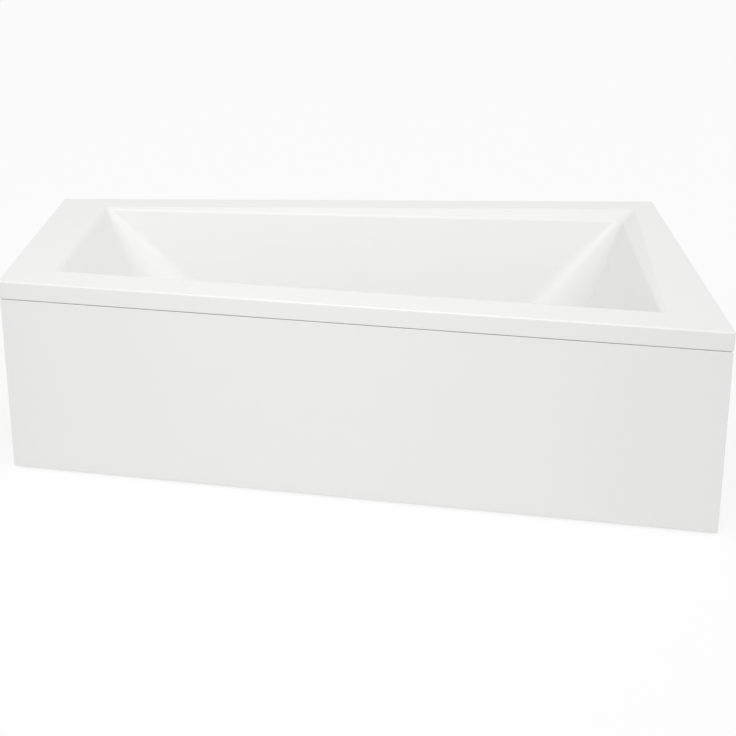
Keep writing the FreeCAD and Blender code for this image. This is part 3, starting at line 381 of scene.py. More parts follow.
class NodeSheet:
    """Wires the nodes of one material on Object coordinates."""

    def __init__(self, name: str) -> None:
        """Starts a material with a shader and its output.

        Args:
            name: Name of the material.
        """
        self.material = bpy.data.materials.new(name)
        self.material.use_nodes = True
        self.tree = self.material.node_tree
        self.tree.nodes.clear()
        output = self.tree.nodes.new("ShaderNodeOutputMaterial")
        self.shader = self.tree.nodes.new("ShaderNodeBsdfPrincipled")
        self.tree.links.new(self.shader.outputs["BSDF"], output.inputs["Surface"])
        self.place = self.tree.nodes.new("ShaderNodeTexCoord").outputs["Object"]

    def put(self, socket: Socket, value: object) -> None:
        """Links a socket to another, or sets its value.

        Args:
            socket: Socket that takes the value.
            value: A value, or a socket to link from.
        """
        if isinstance(value, Socket):
            self.tree.links.new(value, socket)
        else:
            socket.default_value = value

    def fill(self, node: bpy.types.Node, inputs: dict[str, object]) -> None:
        """Gives a node's inputs values or links, by input name with underscores for spaces."""
        for key, value in inputs.items():
            self.put(node.inputs[key.replace("_", " ")], value)

    def set(self, **inputs: object) -> None:
        """Gives the shader's named inputs values or links."""
        self.fill(self.shader, inputs)

    def node(self, kind: str, **inputs: object) -> bpy.types.Node:
        """Adds a node and gives each named input a value or a link.

        Args:
            kind: Blender's name for the node.
            inputs: Values or sockets by input name, with underscores for spaces.

        Returns:
            The node.
        """
        made = self.tree.nodes.new(kind)
        self.fill(made, inputs)
        return made

    def mapped(self, scale: Point, turn: float = 0.0, tilt: float = 0.0) -> Socket:
        """Returns Object coordinates turned about the upright axis, tilted and then stretched."""
        first = self.node("ShaderNodeMapping", Vector=self.place, Rotation=(0.0, tilt, turn))
        return self.node("ShaderNodeMapping", Vector=first.outputs["Vector"], Scale=scale).outputs["Vector"]

    def noise(self, scale: float, detail: float = 3.0, vector: Socket | None = None,
              distortion: float = 0.0) -> Socket:
        """Returns the factor of a noise texture."""
        made = self.node("ShaderNodeTexNoise", Vector=vector or self.place, Scale=scale, Detail=detail,
                         Distortion=distortion)
        return made.outputs["Fac"]

    def cells(self, scale: float, vector: Socket | None = None) -> bpy.types.Node:
        """Returns a texture of cells."""
        return self.node("ShaderNodeTexVoronoi", Vector=vector or self.place, Scale=scale)

    def tone(self, cells: bpy.types.Node, channel: str) -> Socket:
        """Returns one channel of the cells' random colours as a factor."""
        return self.node("ShaderNodeSeparateColor", Color=cells.outputs["Color"]).outputs[channel]

    def spread(self, factor: Socket, low: float, high: float, start: float = 0.3, end: float = 0.7) -> Socket:
        """Returns a factor's stretch between start and end, spread from a low to a high value."""
        made = self.node("ShaderNodeMapRange", Value=factor, From_Min=start, From_Max=end, To_Min=low,
                         To_Max=high)
        return made.outputs["Result"]

    def blend(self, factor: Socket, one: Colour, two: Colour, start: float = 0.3, end: float = 0.7) -> Socket:
        """Blends two colours by a factor.

        Args:
            factor: Factor that leads the blend.
            one: Colour up to the start.
            two: Colour from the end on.
            start: Factor at which the blend starts.
            end: Factor at which the blend ends.

        Returns:
            The colour.
        """
        ramp = self.node("ShaderNodeValToRGB", Fac=factor)
        stops = zip(ramp.color_ramp.elements, (start, end), (one, two))
        for element, position, colour in stops:
            element.position = position
            element.color = (*colour, 1.0)
        return ramp.outputs["Color"]

    def larger(self, one: Socket, two: Socket) -> Socket:
        """Returns the larger of two factors."""
        return larger_of(self.tree, one, two)

    def bump(self, height: Socket, strength: float, depth: float) -> None:
        """Raises the surface by a factor, and after any bump that is there already.

        Args:
            height: Factor that raises the surface.
            strength: Share of the bump that shows.
            depth: Height of a full factor.
        """
        made = self.node("ShaderNodeBump", Height=height, Strength=strength, Distance=depth)
        normal = self.shader.inputs["Normal"]
        if normal.is_linked:
            self.put(made.inputs["Normal"], normal.links[0].from_socket)
        self.put(normal, made.outputs["Normal"])


@dataclass(frozen=True)
class Finish(ABC):
    """One finish, whose material is made once.

    Attributes:
        name: Name of the material.
    """

    name: str

    def material(self) -> bpy.types.Material:
        """Finds the finish's material, and wires it on first use.

        Returns:
            The material.
        """
        found = bpy.data.materials.get(self.name)
        if found:
            return found
        sheet = NodeSheet(self.name)
        self.wire(sheet)
        return sheet.material

    @abstractmethod
    def wire(self, sheet: NodeSheet) -> None:
        """Wires the finish's nodes.

        Args:
            sheet: Sheet that the nodes go on.
        """


@dataclass(frozen=True)
class Acrylic(Finish):
    """Cast acrylic with a high gloss and a faint draw of the mould.

    Attributes:
        bright: Main colour.
        dull: Colour of its broad clouds.
    """

    bright: Colour = (0.875, 0.875, 0.87)
    dull: Colour = (0.86, 0.86, 0.856)

    def wire(self, sheet: NodeSheet) -> None:
        """Wires a nearly even white, a gloss that varies a little and a slight draw.

        Args:
            sheet: Sheet that the nodes go on.
        """
        haze = sheet.noise(scale=14.0, detail=4.0)
        sheet.set(Base_Color=sheet.blend(sheet.noise(scale=2.5), self.dull, self.bright))
        sheet.set(Roughness=sheet.spread(haze, low=0.10, high=0.17), IOR=1.49)
        sheet.bump(sheet.noise(scale=26.0, detail=1.0), strength=0.05, depth=0.0006)
        sheet.bump(sheet.noise(scale=900.0, detail=2.0), strength=0.03, depth=0.0001)


@dataclass(frozen=True)
class GlassFibre(Finish):
    """Chopped strands in resin, rolled on by hand.

    Attributes:
        resin: Colour of the resin.
        strand: Colour of the strands.
        lays: Turn and tilt of each layer of strands.
    """

    resin: Colour = (0.62, 0.585, 0.47)
    strand: Colour = (0.8, 0.785, 0.7)
    lays: tuple[tuple[float, float], ...] = ((0.3, 0.5), (1.4, -0.4), (2.5, 0.9))

    def wire(self, sheet: NodeSheet) -> None:
        """Wires strands that lie in three directions over patches of thicker resin.

        Args:
            sheet: Sheet that the nodes go on.
        """
        strands = None
        for turn, tilt in self.lays:
            vector = sheet.mapped((14.0, 260.0, 260.0), turn, tilt)
            layer = sheet.noise(scale=1.0, detail=2.0, vector=vector, distortion=0.4)
            strands = layer if strands is None else sheet.larger(strands, layer)
        sheet.set(Base_Color=sheet.blend(strands, self.resin, self.strand, start=0.5, end=0.72))
        sheet.set(Roughness=sheet.spread(sheet.noise(scale=30.0), low=0.35, high=0.62), IOR=1.5)
        sheet.bump(sheet.noise(scale=45.0, detail=4.0), strength=0.4, depth=0.002)
        sheet.bump(strands, strength=0.55, depth=0.0012)


@dataclass(frozen=True)
class Chipboard(Finish):
    """Pressed chips of wood.

    Attributes:
        dark: Colour of the darkest chips.
        light: Colour of the lightest chips.
    """

    dark: Colour = (0.36, 0.24, 0.13)
    light: Colour = (0.62, 0.46, 0.28)

    def wire(self, sheet: NodeSheet) -> None:
        """Wires chips of different tones with short grain.

        Args:
            sheet: Sheet that the nodes go on.
        """
        chips = sheet.cells(scale=1.0, vector=sheet.mapped((90.0, 160.0, 220.0), turn=0.4))
        grain = sheet.noise(scale=260.0)
        tone = sheet.tone(chips, "Red")
        sheet.set(Base_Color=sheet.blend(tone, self.dark, self.light, start=0.0, end=0.9))
        sheet.set(Roughness=sheet.spread(grain, low=0.6, high=0.85))
        sheet.bump(chips.outputs["Distance"], strength=0.35, depth=0.0008)
        sheet.bump(grain, strength=0.3, depth=0.0005)


@dataclass(frozen=True)
class SawnWood(Finish):
    """Sawn softwood with its grain along one direction.

    Attributes:
        grain: Direction of the grain.
        early: Colour of the early wood.
        late: Colour of the late wood.
    """

    grain: Grain = Grain.ALONG_BACK
    early: Colour = (0.66, 0.47, 0.27)
    late: Colour = (0.42, 0.25, 0.11)

    def wire(self, sheet: NodeSheet) -> None:
        """Wires long streaks of early and late wood, and saw marks across them.

        Args:
            sheet: Sheet that the nodes go on.
        """
        turn = -self.grain.value
        along, across = sheet.mapped((3.0, 95.0, 95.0), turn), sheet.mapped((420.0, 18.0, 18.0), turn)
        streaks = sheet.noise(scale=1.0, detail=5.0, vector=along, distortion=0.6)
        marks = sheet.noise(scale=1.0, detail=2.0, vector=across)
        sheet.set(Base_Color=sheet.blend(streaks, self.late, self.early, start=0.32, end=0.62))
        sheet.set(Roughness=sheet.spread(streaks, low=0.55, high=0.8))
        sheet.bump(streaks, strength=0.35, depth=0.0006)
        sheet.bump(marks, strength=0.25, depth=0.0004)


@dataclass(frozen=True)
class Galvanised(Finish):
    """Zinc-dipped sheet steel with its spangle.

    Attributes:
        dark: Colour of the darkest crystals.
        light: Colour of the lightest crystals.
        spangle: Number of crystals to a metre.
    """

    dark: Colour = (0.42, 0.44, 0.46)
    light: Colour = (0.68, 0.69, 0.7)
    spangle: float = 75.0

    def wire(self, sheet: NodeSheet) -> None:
        """Wires crystals of different tone and gloss, with fine drawn lines.

        Args:
            sheet: Sheet that the nodes go on.
        """
        tone = sheet.tone(sheet.cells(self.spangle), "Green")
        lines = sheet.noise(scale=1.0, detail=2.0, vector=sheet.mapped((40.0, 600.0, 600.0)))
        sheet.set(Base_Color=sheet.blend(tone, self.dark, self.light, start=0.0, end=1.0), Metallic=1.0)
        sheet.set(Roughness=sheet.spread(tone, low=0.3, high=0.52, start=0.0, end=1.0))
        sheet.bump(lines, strength=0.12, depth=0.0002)


@dataclass(frozen=True)
class ZincPlate(Finish):
    """Plated fasteners with a faint tint and turning marks.

    Attributes:
        dark: Colour of the darker clouds.
        light: Colour of the lighter clouds.
    """

    dark: Colour = (0.5, 0.49, 0.44)
    light: Colour = (0.7, 0.69, 0.66)

    def wire(self, sheet: NodeSheet) -> None:
        """Wires a clouded metal with level turning marks.

        Args:
            sheet: Sheet that the nodes go on.
        """
        clouds = sheet.noise(scale=160.0, detail=4.0)
        marks = sheet.noise(scale=1.0, detail=1.0, vector=sheet.mapped((60.0, 60.0, 3000.0)))
        sheet.set(Base_Color=sheet.blend(clouds, self.dark, self.light), Metallic=1.0)
        sheet.set(Roughness=sheet.spread(clouds, low=0.24, high=0.42))
        sheet.bump(marks, strength=0.1, depth=0.0001)


@dataclass(frozen=True)
class Chrome(Finish):
    """Polished chrome plate with a trace of wiping.

    Attributes:
        clean: Main colour.
        wiped: Colour of the wiped clouds.
    """

    clean: Colour = (0.8, 0.81, 0.83)
    wiped: Colour = (0.74, 0.75, 0.77)

    def wire(self, sheet: NodeSheet) -> None:
        """Wires a mirror metal with faint clouds in its gloss.

        Args:
            sheet: Sheet that the nodes go on.
        """
        clouds = sheet.noise(scale=70.0, detail=4.0, distortion=0.8)
        sheet.set(Base_Color=sheet.blend(clouds, self.wiped, self.clean), Metallic=1.0)
        sheet.set(Roughness=sheet.spread(clouds, low=0.05, high=0.12))
        sheet.bump(sheet.noise(scale=500.0, detail=2.0), strength=0.02, depth=0.0001)


@dataclass(frozen=True)
class Moulded(Finish):
    """Moulded plastic or rubber with a fine grain.

    Attributes:
        colour: Main colour.
        shade: Colour of its darker clouds.
        gloss: Least roughness.
        grain: Depth of the grain, as a bump strength.
        gloss_range: Rise of the roughness in the lighter clouds.
    """

    colour: Colour = (0.8, 0.8, 0.78)
    shade: Colour = (0.74, 0.74, 0.72)
    gloss: float = 0.35
    grain: float = 0.2
    gloss_range: float = 0.14

    def wire(self, sheet: NodeSheet) -> None:
        """Wires clouds of two tones, a gloss that varies and a fine grain.

        Args:
            sheet: Sheet that the nodes go on.
        """
        clouds = sheet.noise(scale=22.0, detail=4.0)
        sheet.set(Base_Color=sheet.blend(clouds, self.shade, self.colour))
        sheet.set(Roughness=sheet.spread(clouds, self.gloss, self.gloss + self.gloss_range), IOR=1.5)
        sheet.bump(sheet.noise(scale=1400.0, detail=2.0), self.grain, depth=0.0003)


ACRYLIC = Acrylic("acrylic_white")
GLASS_FIBRE = GlassFibre("glass_fibre")
CHIPBOARD = Chipboard("chipboard")
GALVANISED = Galvanised("galvanised_sheet")
ZINC = ZincPlate("zinc_plate")
CHROME = Chrome("chrome_plate")
WASTE_PLASTIC = Moulded("waste_plastic")
HOSE_PLASTIC = Moulded("hose_plastic", (0.56, 0.57, 0.58), (0.49, 0.5, 0.51), 0.3, 0.15)
CLIP_PLASTIC = Moulded("clip_plastic", (0.72, 0.72, 0.71), (0.64, 0.64, 0.63), 0.4, 0.25)
FOOT_PLASTIC = Moulded("foot_plastic", (0.035, 0.035, 0.037), (0.02, 0.02, 0.021), 0.45, 0.5)
RUBBER = Moulded("seal_rubber", (0.03, 0.03, 0.03), (0.018, 0.018, 0.018), 0.6, 0.4)
CABLE_SHEATH = Moulded("cable_sheath", (0.04, 0.04, 0.042), (0.025, 0.025, 0.026), 0.32, 0.2)
MAGNET = Galvanised("magnet_nickel", (0.2, 0.2, 0.21), (0.32, 0.32, 0.33), 300.0)


@dataclass(frozen=True)
class RimPlan:
    """Outline of the rim seen from above: a rectangle whose front slants.

    Attributes:
        half_length: Half the length along the back wall.
        back_y: Place of the back edge.
        wide_end: Width at the +X end.
        narrow_end: Width at the -X end.
        arc_points: Points on each corner's arc.
        side_points: Points between two arcs.
        least_radius: Least radius of a corner that is drawn in.
    """

    half_length: float
    back_y: float
    wide_end: float = WIDE_END
    narrow_end: float = NARROW_END
    arc_points: int = 18
    side_points: int = 30
    least_radius: float = 0.0005

    @property
    def slant(self) -> float:
        """Angle of the front edge to the back wall."""
        return math.atan2(self.wide_end - self.narrow_end, 2 * self.half_length)

    @property
    def along(self) -> Array:
        """Direction along the front edge."""
        return np.array([math.cos(self.slant), -math.sin(self.slant), 0.0])

    @property
    def row_length(self) -> int:
        """Points once round a ring."""
        return 4 * (self.arc_points + self.side_points)

    def corners(self) -> Array:
        """Returns the four corners, clockwise from the back left."""
        half, back = self.half_length, self.back_y
        return np.array([[-half, back], [half, back], [half, back - self.wide_end],
                         [-half, back - self.narrow_end]])

    def front_y(self, x: Array, run: Array) -> Array:
        """Returns the place across the bathtub of a line that lies a run behind the front edge."""
        edge = self.back_y - self.narrow_end - (x + self.half_length) * math.tan(self.slant)
        return edge + run / math.cos(self.slant)

    def inset(self, runs: Array) -> Array:
        """Corners of the outline after its sides move inwards.

        Each side becomes the line through its two moved ends, and a corner is where two lines meet:
        the first line's start plus its length times the share at which the second crosses it.

        Args:
            runs: Inward runs, as level by side by start and end.

        Returns:
            Corners, as level by corner by two.
        """
        start = self.corners()
        end = np.roll(start, -1, axis=0)
        direction = unit(end - start)
        inside = np.stack([direction[:, 1], -direction[:, 0]], axis=-1)
        begin = start + inside * runs[..., 0:1]
        way = end + inside * runs[..., 1:2] - begin
        last_begin, last_way = np.roll(begin, 1, axis=1), np.roll(way, 1, axis=1)
        gap = begin - last_begin
        share = (gap[..., 0] * way[..., 1] - gap[..., 1] * way[..., 0]) \
            / (last_way[..., 0] * way[..., 1] - last_way[..., 1] * way[..., 0])
        return last_begin + last_way * share[..., None]

    def rings(self, runs: Array, radii: Array, heights: Array) -> Array:
        """Level rings of straight sides and eased corners.

        A corner's point is where its sides would meet plus two arms, one times the square of the
        turn still to come and one times the square of the turn so far.  The arms are as long as
        lets the middle lie where a plain arc of the radius has it.  A side's points divide the
        line between two corners evenly.

        Args:
            runs: Inward runs, as level by side by start and end.
            radii: Corner radii, as level by corner.
            heights: Height of each level, or of each of its corners.

        Returns:
            Points, as level by place by three.
        """
        corners = self.inset(runs)
        before = unit(np.roll(corners, 1, axis=1) - corners)
        after = unit(np.roll(corners, -1, axis=1) - corners)
        half = np.arccos(np.clip((before * after).sum(-1), -1, 1))[..., None] / 2
        reach = radii[..., None] * (1 / np.sin(half) - 1) * 2 / np.cos(half)
        start_arm, end_arm = before * reach, after * reach
        start, end = corners + start_arm, corners + end_arm
        turn = np.linspace(0, 1, self.arc_points)[:, None]
        first_half = corners[:, :, None] + start_arm[:, :, None] * (1 - turn) ** 2
        arcs = first_half + end_arm[:, :, None] * turn ** 2
        share = np.linspace(0, 1, self.side_points + 2)[1:-1, None]
        gap = np.roll(start, -1, axis=1) - end
        sides = end[:, :, None] + gap[:, :, None] * share
        flat = np.concatenate([arcs, sides], axis=2).reshape(len(heights), -1, 2)
        height = (heights.reshape(len(heights), -1) * np.ones(4))[..., None]
        climb = height + (np.roll(height, -1, axis=1) - height) * share[:, 0]
        level = np.concatenate([np.repeat(height, self.arc_points, axis=2), climb], axis=2)
        return np.concatenate([flat, level.reshape(len(heights), -1, 1)], axis=-1)

    def even_rings(self, runs: Array, corner_radius: float, heights: Array) -> Array:
        """Rings that lie one run inside the whole outline, with corners drawn in alike.

        Args:
            runs: Inward run of each ring.
            corner_radius: Corner radius of the outline, which shrinks with the run.
            heights: Height of each ring.

        Returns:
            Points, as ring by place by three.
        """
        spread = np.broadcast_to(runs[:, None, None], (len(runs), 4, 2))
        radii = np.maximum(corner_radius - runs, self.least_radius)[:, None] * np.ones(4)
        return self.rings(spread, radii, heights)


@dataclass(frozen=True)
class BasinForm:
    """Form of the basin: a strip slopes off the deck, each wall falls at its lean and turns into the floor.

    Attributes:
        rim_height: Height of the deck.
        floor_height: Height of the floor.
        decks: Deck width of each wall at its start and end, clockwise from the back.
        strip_widths: Width of the sloped strip at each corner, clockwise from the back left.
        strip_depths: Depth of the sloped strip at the same corners.
        leans: Lean of each wall in degrees.
        floor_radius: Radius of the round between a wall and the floor.
        corner_at_rim: Corner radius at the rim.
        corners_at_floor: Radius that each corner reaches at the floor.
        rim_edge: Reach of the round at the strip's upper edge.
        strip_edge: Reach of the round at the strip's lower edge.
    """

    rim_height: float
    floor_height: float = 0.105
    decks: tuple[tuple[float, float], ...] = ((0.078, 0.078), (0.057, 0.138), (0.095, 0.095), (0.118, 0.135))
    strip_widths: tuple[float, ...] = (0.008, 0.042, 0.008, 0.008)
    strip_depths: tuple[float, ...] = (0.006, 0.024, 0.006, 0.006)
    leans: tuple[float, ...] = (7.0, 27.0, 8.0, 32.0)
    floor_radius: float = 0.07
    corner_at_rim: float = 0.010
    corners_at_floor: tuple[float, ...] = (0.225, 0.225, 0.115, 0.115)
    rim_edge: float = 0.0025
    strip_edge: float = 0.004

    @property
    def depth(self) -> float:
        """Depth of the basin."""
        return self.rim_height - self.floor_height

    @property
    def lean(self) -> Array:
        """Lean of each wall in radians, ready to meet start and end values."""
        return np.radians(np.array(self.leans))[:, None]

    @staticmethod
    def at_ends(values: tuple[float, ...]) -> Array:
        """Returns corner values as the start and end of each wall."""
        return np.stack([np.array(values), np.roll(values, -1)], axis=-1)

    @staticmethod
    def at_corners(values: Array) -> Array:
        """Returns the mean at each corner of one wall's end value and the next wall's start value."""
        return (values[:, :, 0] + np.roll(values[:, :, 1], 1, axis=1)) / 2

    def floor_pull(self, depth: Array, skin: float) -> Array:
        """How far the floor round draws each wall in from its straight line.

        Below the round's start the wall is the round's centre less the root of its radius squared
        less the height over the centre squared, and the pull is that less the straight line.

        Args:
            depth: Depths, as ring by wall by start and end.
            skin: Distance behind the basin's face.

        Returns:
            Pulls, shaped as the depths.
        """
        centre = self.depth - self.floor_radius
        swept = self.floor_radius + skin
        over = depth - centre
        on_round = centre * np.tan(self.lean) + self.floor_radius / np.cos(self.lean) \
            - np.sqrt(np.maximum(swept ** 2 - over ** 2, 0))
        straight = depth * np.tan(self.lean) - skin / np.cos(self.lean)
        return np.where(over > swept * np.sin(self.lean), on_round - straight, 0.0)

    def wall_line(self, depth: Array, skin: float) -> Array:
        """Run of each wall: the strip's foot plus the depth below it times the lean's tangent.

        Args:
            depth: Depths, as ring by wall by start and end.
            skin: Distance behind the basin's face.

        Returns:
            Inward runs, shaped as the depths.
        """
        foot = np.array(self.decks) + self.at_ends(self.strip_widths)
        below = depth - self.at_ends(self.strip_depths)
        return foot + below * np.tan(self.lean) - skin / np.cos(self.lean)

    def strip(self, skin: float, steps: int) -> Array:
        """Profile of the sloped strip with both of its edges rounded.

        The strip is the line from the deck's edge to the wall, moved square to itself by the skin.
        Each edge is a curve through the mean of its two lines, weighted twice towards their corner.

        Args:
            skin: Distance behind the basin's face.
            steps: Points on each round.

        Returns:
            Run and depth, as point by wall by start and end by two.
        """
        deck = np.array(self.decks)
        drop = self.at_ends(self.strip_depths)
        grade = self.at_ends(self.strip_widths) / drop
        secant = np.sqrt(1 + grade ** 2)
        low = drop + skin * (secant - 1 / np.cos(self.lean)) / (grade - np.tan(self.lean))
        top = np.stack([deck + skin * (grade - secant), np.full_like(deck, skin)], axis=-1)
        foot = np.stack([self.wall_line(low, skin), low], axis=-1)
        down = np.stack([grade, np.ones_like(grade)], axis=-1) / secant[..., None]
        wall = np.broadcast_to(np.stack([np.sin(self.lean), np.cos(self.lean)], axis=-1), down.shape)
        share = np.linspace(0, 1, steps)[:, None, None, None]
        near, far = (1 - share) ** 2, share ** 2
        level = np.array([1.0, 0.0])
        upper = top - level * self.rim_edge * near + down * self.rim_edge * far
        lower = foot - down * self.strip_edge * near + wall * self.strip_edge * far
        slope = between(upper[-1], lower[0], np.linspace(0, 1, steps)[1:-1])
        return np.concatenate([upper, slope, lower])

    def rings(self, plan: RimPlan, depth: Array, skin: float) -> Array:
        """Rings round the basin, a skin behind its face.

        Args:
            plan: Outline of the rim.
            depth: Depth of each ring below the strip, or as ring by wall by start and end.
            skin: Distance behind the basin's face.

        Returns:
            Points, as ring by place by three.
        """
        depth = depth.reshape(len(depth), *([1, 1] if depth.ndim == 1 else [4, 2])) * np.ones((4, 2))
        pull = self.floor_pull(depth, skin)
        return self.placed(plan, self.wall_line(depth, skin) + pull, depth, pull, skin)

    def placed(self, plan: RimPlan, runs: Array, depth: Array, pull: Array, skin: float) -> Array:
        """Rings at their runs and depths, with corners that grow with depth and give way to the floor.

        A corner's radius is the rim's plus the growth times the depth plus the skin, less the mean
        pull of the floor round on its two walls.

        Args:
            plan: Outline of the rim.
            runs: Inward runs, as ring by wall by start and end.
            depth: Depths, shaped as the runs.
            pull: Part of the runs that comes from the floor round.
            skin: Distance behind the basin's face.

        Returns:
            Points, as ring by place by three.
        """
        at_corner = self.at_corners(depth)
        growth = (np.array(self.corners_at_floor) - self.corner_at_rim) / self.depth
        grown = self.corner_at_rim + growth * at_corner + skin
        return plan.rings(runs, grown - self.at_corners(pull), self.rim_height - at_corner)

    def face(self, plan: RimPlan, skin: float, round_steps: int, wall_steps: int) -> Array:
        """Rings down the whole basin, from the deck's edge to the floor.

        Args:
            plan: Outline of the rim.
            skin: Distance behind the basin's face.
            round_steps: Rings on each round.
            wall_steps: Rings on the walls.

        Returns:
            Points, as ring by place by three.
        """
        strip = self.strip(skin, round_steps // 2)
        rim = self.placed(plan, strip[..., 0], strip[..., 1], np.zeros_like(strip[..., 0]), skin)
        centre = self.depth - self.floor_radius
        wall = between(strip[-1, ..., 1], centre, np.linspace(0, 1, wall_steps)[1:])
        landing = centre + quarter(self.floor_radius + skin, round_steps)[1][1:]
        return np.concatenate([rim, self.rings(plan, wall, skin), self.rings(plan, landing, skin)])


@dataclass(frozen=True)
class Fittings:
    """Places of the drain and the overflow.

    Attributes:
        drain: Middle of the drain, seen from above.
        overflow: Middle of the overflow on the wall's face.
        overflow_axis: Direction out of the wall.
        hole_radius: Radius of both holes in the shell.
        block_share: Least half width of the block round the overflow hole, as a share of its radius.
    """

    drain: Array
    overflow: Array
    overflow_axis: Array
    hole_radius: float = 0.026
    block_share: float = 1.3

    @staticmethod
    def from_frame() -> "Fittings":
        """Finds the places from the drain's box and the overflow knob's joint.

        Returns:
            The places.
        """
        low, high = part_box("drain_flange")
        turn = next(joint for joint in frame["joints"] if joint["name"] == "knob_turn")
        return Fittings((np.array(low) + np.array(high)) / 2, np.array(turn["pos_m"]), np.array(turn["axis"]))

    def behind_overflow(self, reach: float) -> Array:
        """Returns the point on the overflow's axis that lies a reach behind the wall's face."""
        return self.overflow - self.overflow_axis * reach

    def overflow_block(self, plan: RimPlan, rings: Array, half: float) -> tuple[int, int, int, int]:
        """Rows and places of the block of the front wall that holds the overflow hole.

        Args:
            plan: Outline of the rim that the rings follow.
            rings: Rings down the wall's face.
            half: Least distance from the hole's middle to the block's sides.

        Returns:
            Upper row, lower row, first place and last place.
        """
        per_side = plan.arc_points + plan.side_points
        places = np.arange(2 * per_side + plan.arc_points, 3 * per_side)
        heights = rings[:, places[0], 2] - self.overflow[2]
        aside = (rings[np.abs(heights).argmin(), places] - self.overflow) @ plan.along
        return (int(np.flatnonzero(heights > half)[-1]), int(np.flatnonzero(heights < -half)[0]),
                int(places[np.flatnonzero(aside > half)[-1]]), int(places[np.flatnonzero(aside < -half)[0]]))

    def to_drain(self, ring: Array, radius: float, steps: int) -> Array:
        """Rings from a floor's outline to the drain hole.

        A point passes from its outline point to the hole's edge in the same direction.

        Args:
            ring: Outline of the floor.
            radius: Radius of the hole.
            steps: Number of rings after the outline.

        Returns:
            Points, as ring by place by three.
        """
        centre = np.array([self.drain[0], self.drain[1], ring[0, 2]])
        edge = centre + unit(ring - centre) * radius
        return between(ring, edge, np.linspace(0, 1, steps + 1)[1:])

    def opened(self, rows: Array, plan: RimPlan, face: Array, starts: tuple[int, int],
               skins: tuple[float, float], radius: float) -> Surface:
        """Closes rows into a surface and opens the overflow hole through both faces of the front wall.

        Args:
            rows: Rows of the whole piece, of which the last joins the first.
            plan: Outline of the rim that the rows follow.
            face: Rings down the near face.
            starts: Row of the near face's first ring, and row of the far face's, which counts backwards.
            skins: Distance of the near face and of the far face behind the basin's face.
            radius: Radius of the hole.

        Returns:
            The surface with the hole.
        """
        upper, lower, first, last = self.overflow_block(plan, face, self.block_share * radius)
        near, far = (self.behind_overflow(skin) for skin in skins)
        near_hole = Hole(near, radius, starts[0] + upper, starts[0] + lower, first, last)
        far_hole = Hole(far, radius, starts[1] - upper, starts[1] - lower, first, last)
        return Surface.from_rows(rows, closed=True).pierced([near_hole, far_hole], plan.row_length)


@dataclass(frozen=True)
class BathShell:
    """The acrylic shell: lip, rim and basin as one skin.

    Attributes:
        plan: Outline of the rim.
        basin: Form of the basin.
        fittings: Places of the drain and the overflow.
        skin: Thickness of the acrylic.
        lip_height: Height of the turned-down lip.
        corner_radius: Radius of the rim's upright corners.
        edge_radius: Radius of the rim's upper edge.
        lip_round: Radius of the lip's lower edges.
        round_steps: Rings on each of the basin's rounds.
        wall_steps: Rings on the basin's walls.
        flat_steps: Rings across the deck and across the floor.
        lip_steps: Rings on each of the lip's lower edges.
        edge_steps: Rings on the rim's upper edge.
        rise_steps: Rings up the outside of the lip.
        fall_steps: Rings down the inside of the lip.
    """

    plan: RimPlan
    basin: BasinForm
    fittings: Fittings
    skin: float = 0.005
    lip_height: float = 0.045
    corner_radius: float = 0.008
    edge_radius: float = 0.004
    lip_round: float = 0.0015
    round_steps: int = 26
    wall_steps: int = 32
    flat_steps: int = 12
    lip_steps: int = 5
    edge_steps: int = 9
    rise_steps: int = 8
    fall_steps: int = 6

    @property
    def lip_start(self) -> float:
        """Height at which the lip's lower edges turn into its upright faces."""
        return self.basin.rim_height - self.lip_height + self.lip_round

    def lip_rows(self) -> Array:
        """Rings up the outside of the lip and round the rim's upper edge.

        Returns:
            Points, as ring by place by three.
        """
        edge_start = self.basin.rim_height - self.edge_radius
        inwards, downwards = quarter(self.lip_round, self.lip_steps)
        rise = np.linspace(self.lip_start, edge_start, self.rise_steps)[1:-1]
        over, climb = quarter(self.edge_radius, self.edge_steps)
        runs = np.concatenate([inwards[::-1], np.zeros(len(rise)), over])
        heights = np.concatenate([self.lip_start - downwards[::-1], rise, edge_start + climb])
        return self.plan.even_rings(runs, self.corner_radius, heights)

    def inner_lip_rows(self) -> Array:
        """Rings down the inside of the lip to its lower edge.

        Returns:
            Points, as ring by place by three.
        """
        outwards, downwards = quarter(self.lip_round, self.lip_steps)
        fall = np.linspace(self.basin.rim_height - self.skin, self.lip_start, self.fall_steps)
        runs = np.concatenate([np.full(len(fall), self.skin), self.skin - outwards[1:]])
        heights = np.concatenate([fall, self.lip_start - downwards[1:]])
        return self.plan.even_rings(runs, self.corner_radius, heights)

    def deck_rows(self, ring: Array, opening: Array) -> Array:
        """Returns rings across the flat from one ring to another."""
        return between(ring, opening, np.linspace(0, 1, self.flat_steps)[1:-1])

    def build(self) -> None:
        """Builds the shell from its rings, opens the overflow hole and dresses it."""
        radius = self.fittings.hole_radius
        lip, inner_lip = self.lip_rows(), self.inner_lip_rows()
        face = self.basin.face(self.plan, 0.0, self.round_steps, self.wall_steps)
        back = self.basin.face(self.plan, self.skin, self.round_steps, self.wall_steps)
        rim = [lip, self.deck_rows(lip[-1], face[0])]
        basin = [face, self.fittings.to_drain(face[-1], radius, self.flat_steps),
                 self.fittings.to_drain(back[-1], radius, self.flat_steps)[::-1], back[::-1]]
        under = [self.deck_rows(back[0], inner_lip[0]), inner_lip]
        near_row = sum(len(part) for part in rim)
        far_row = near_row + sum(len(part) for part in basin) - 1
        rows = np.concatenate(rim + basin + under)
        surface = self.fittings.opened(rows, self.plan, face, (near_row, far_row), (0.0, self.skin), radius)
        make_piece("acrylic_shell", surface, ACRYLIC, Body.TUB.value, ("bath_shell",))


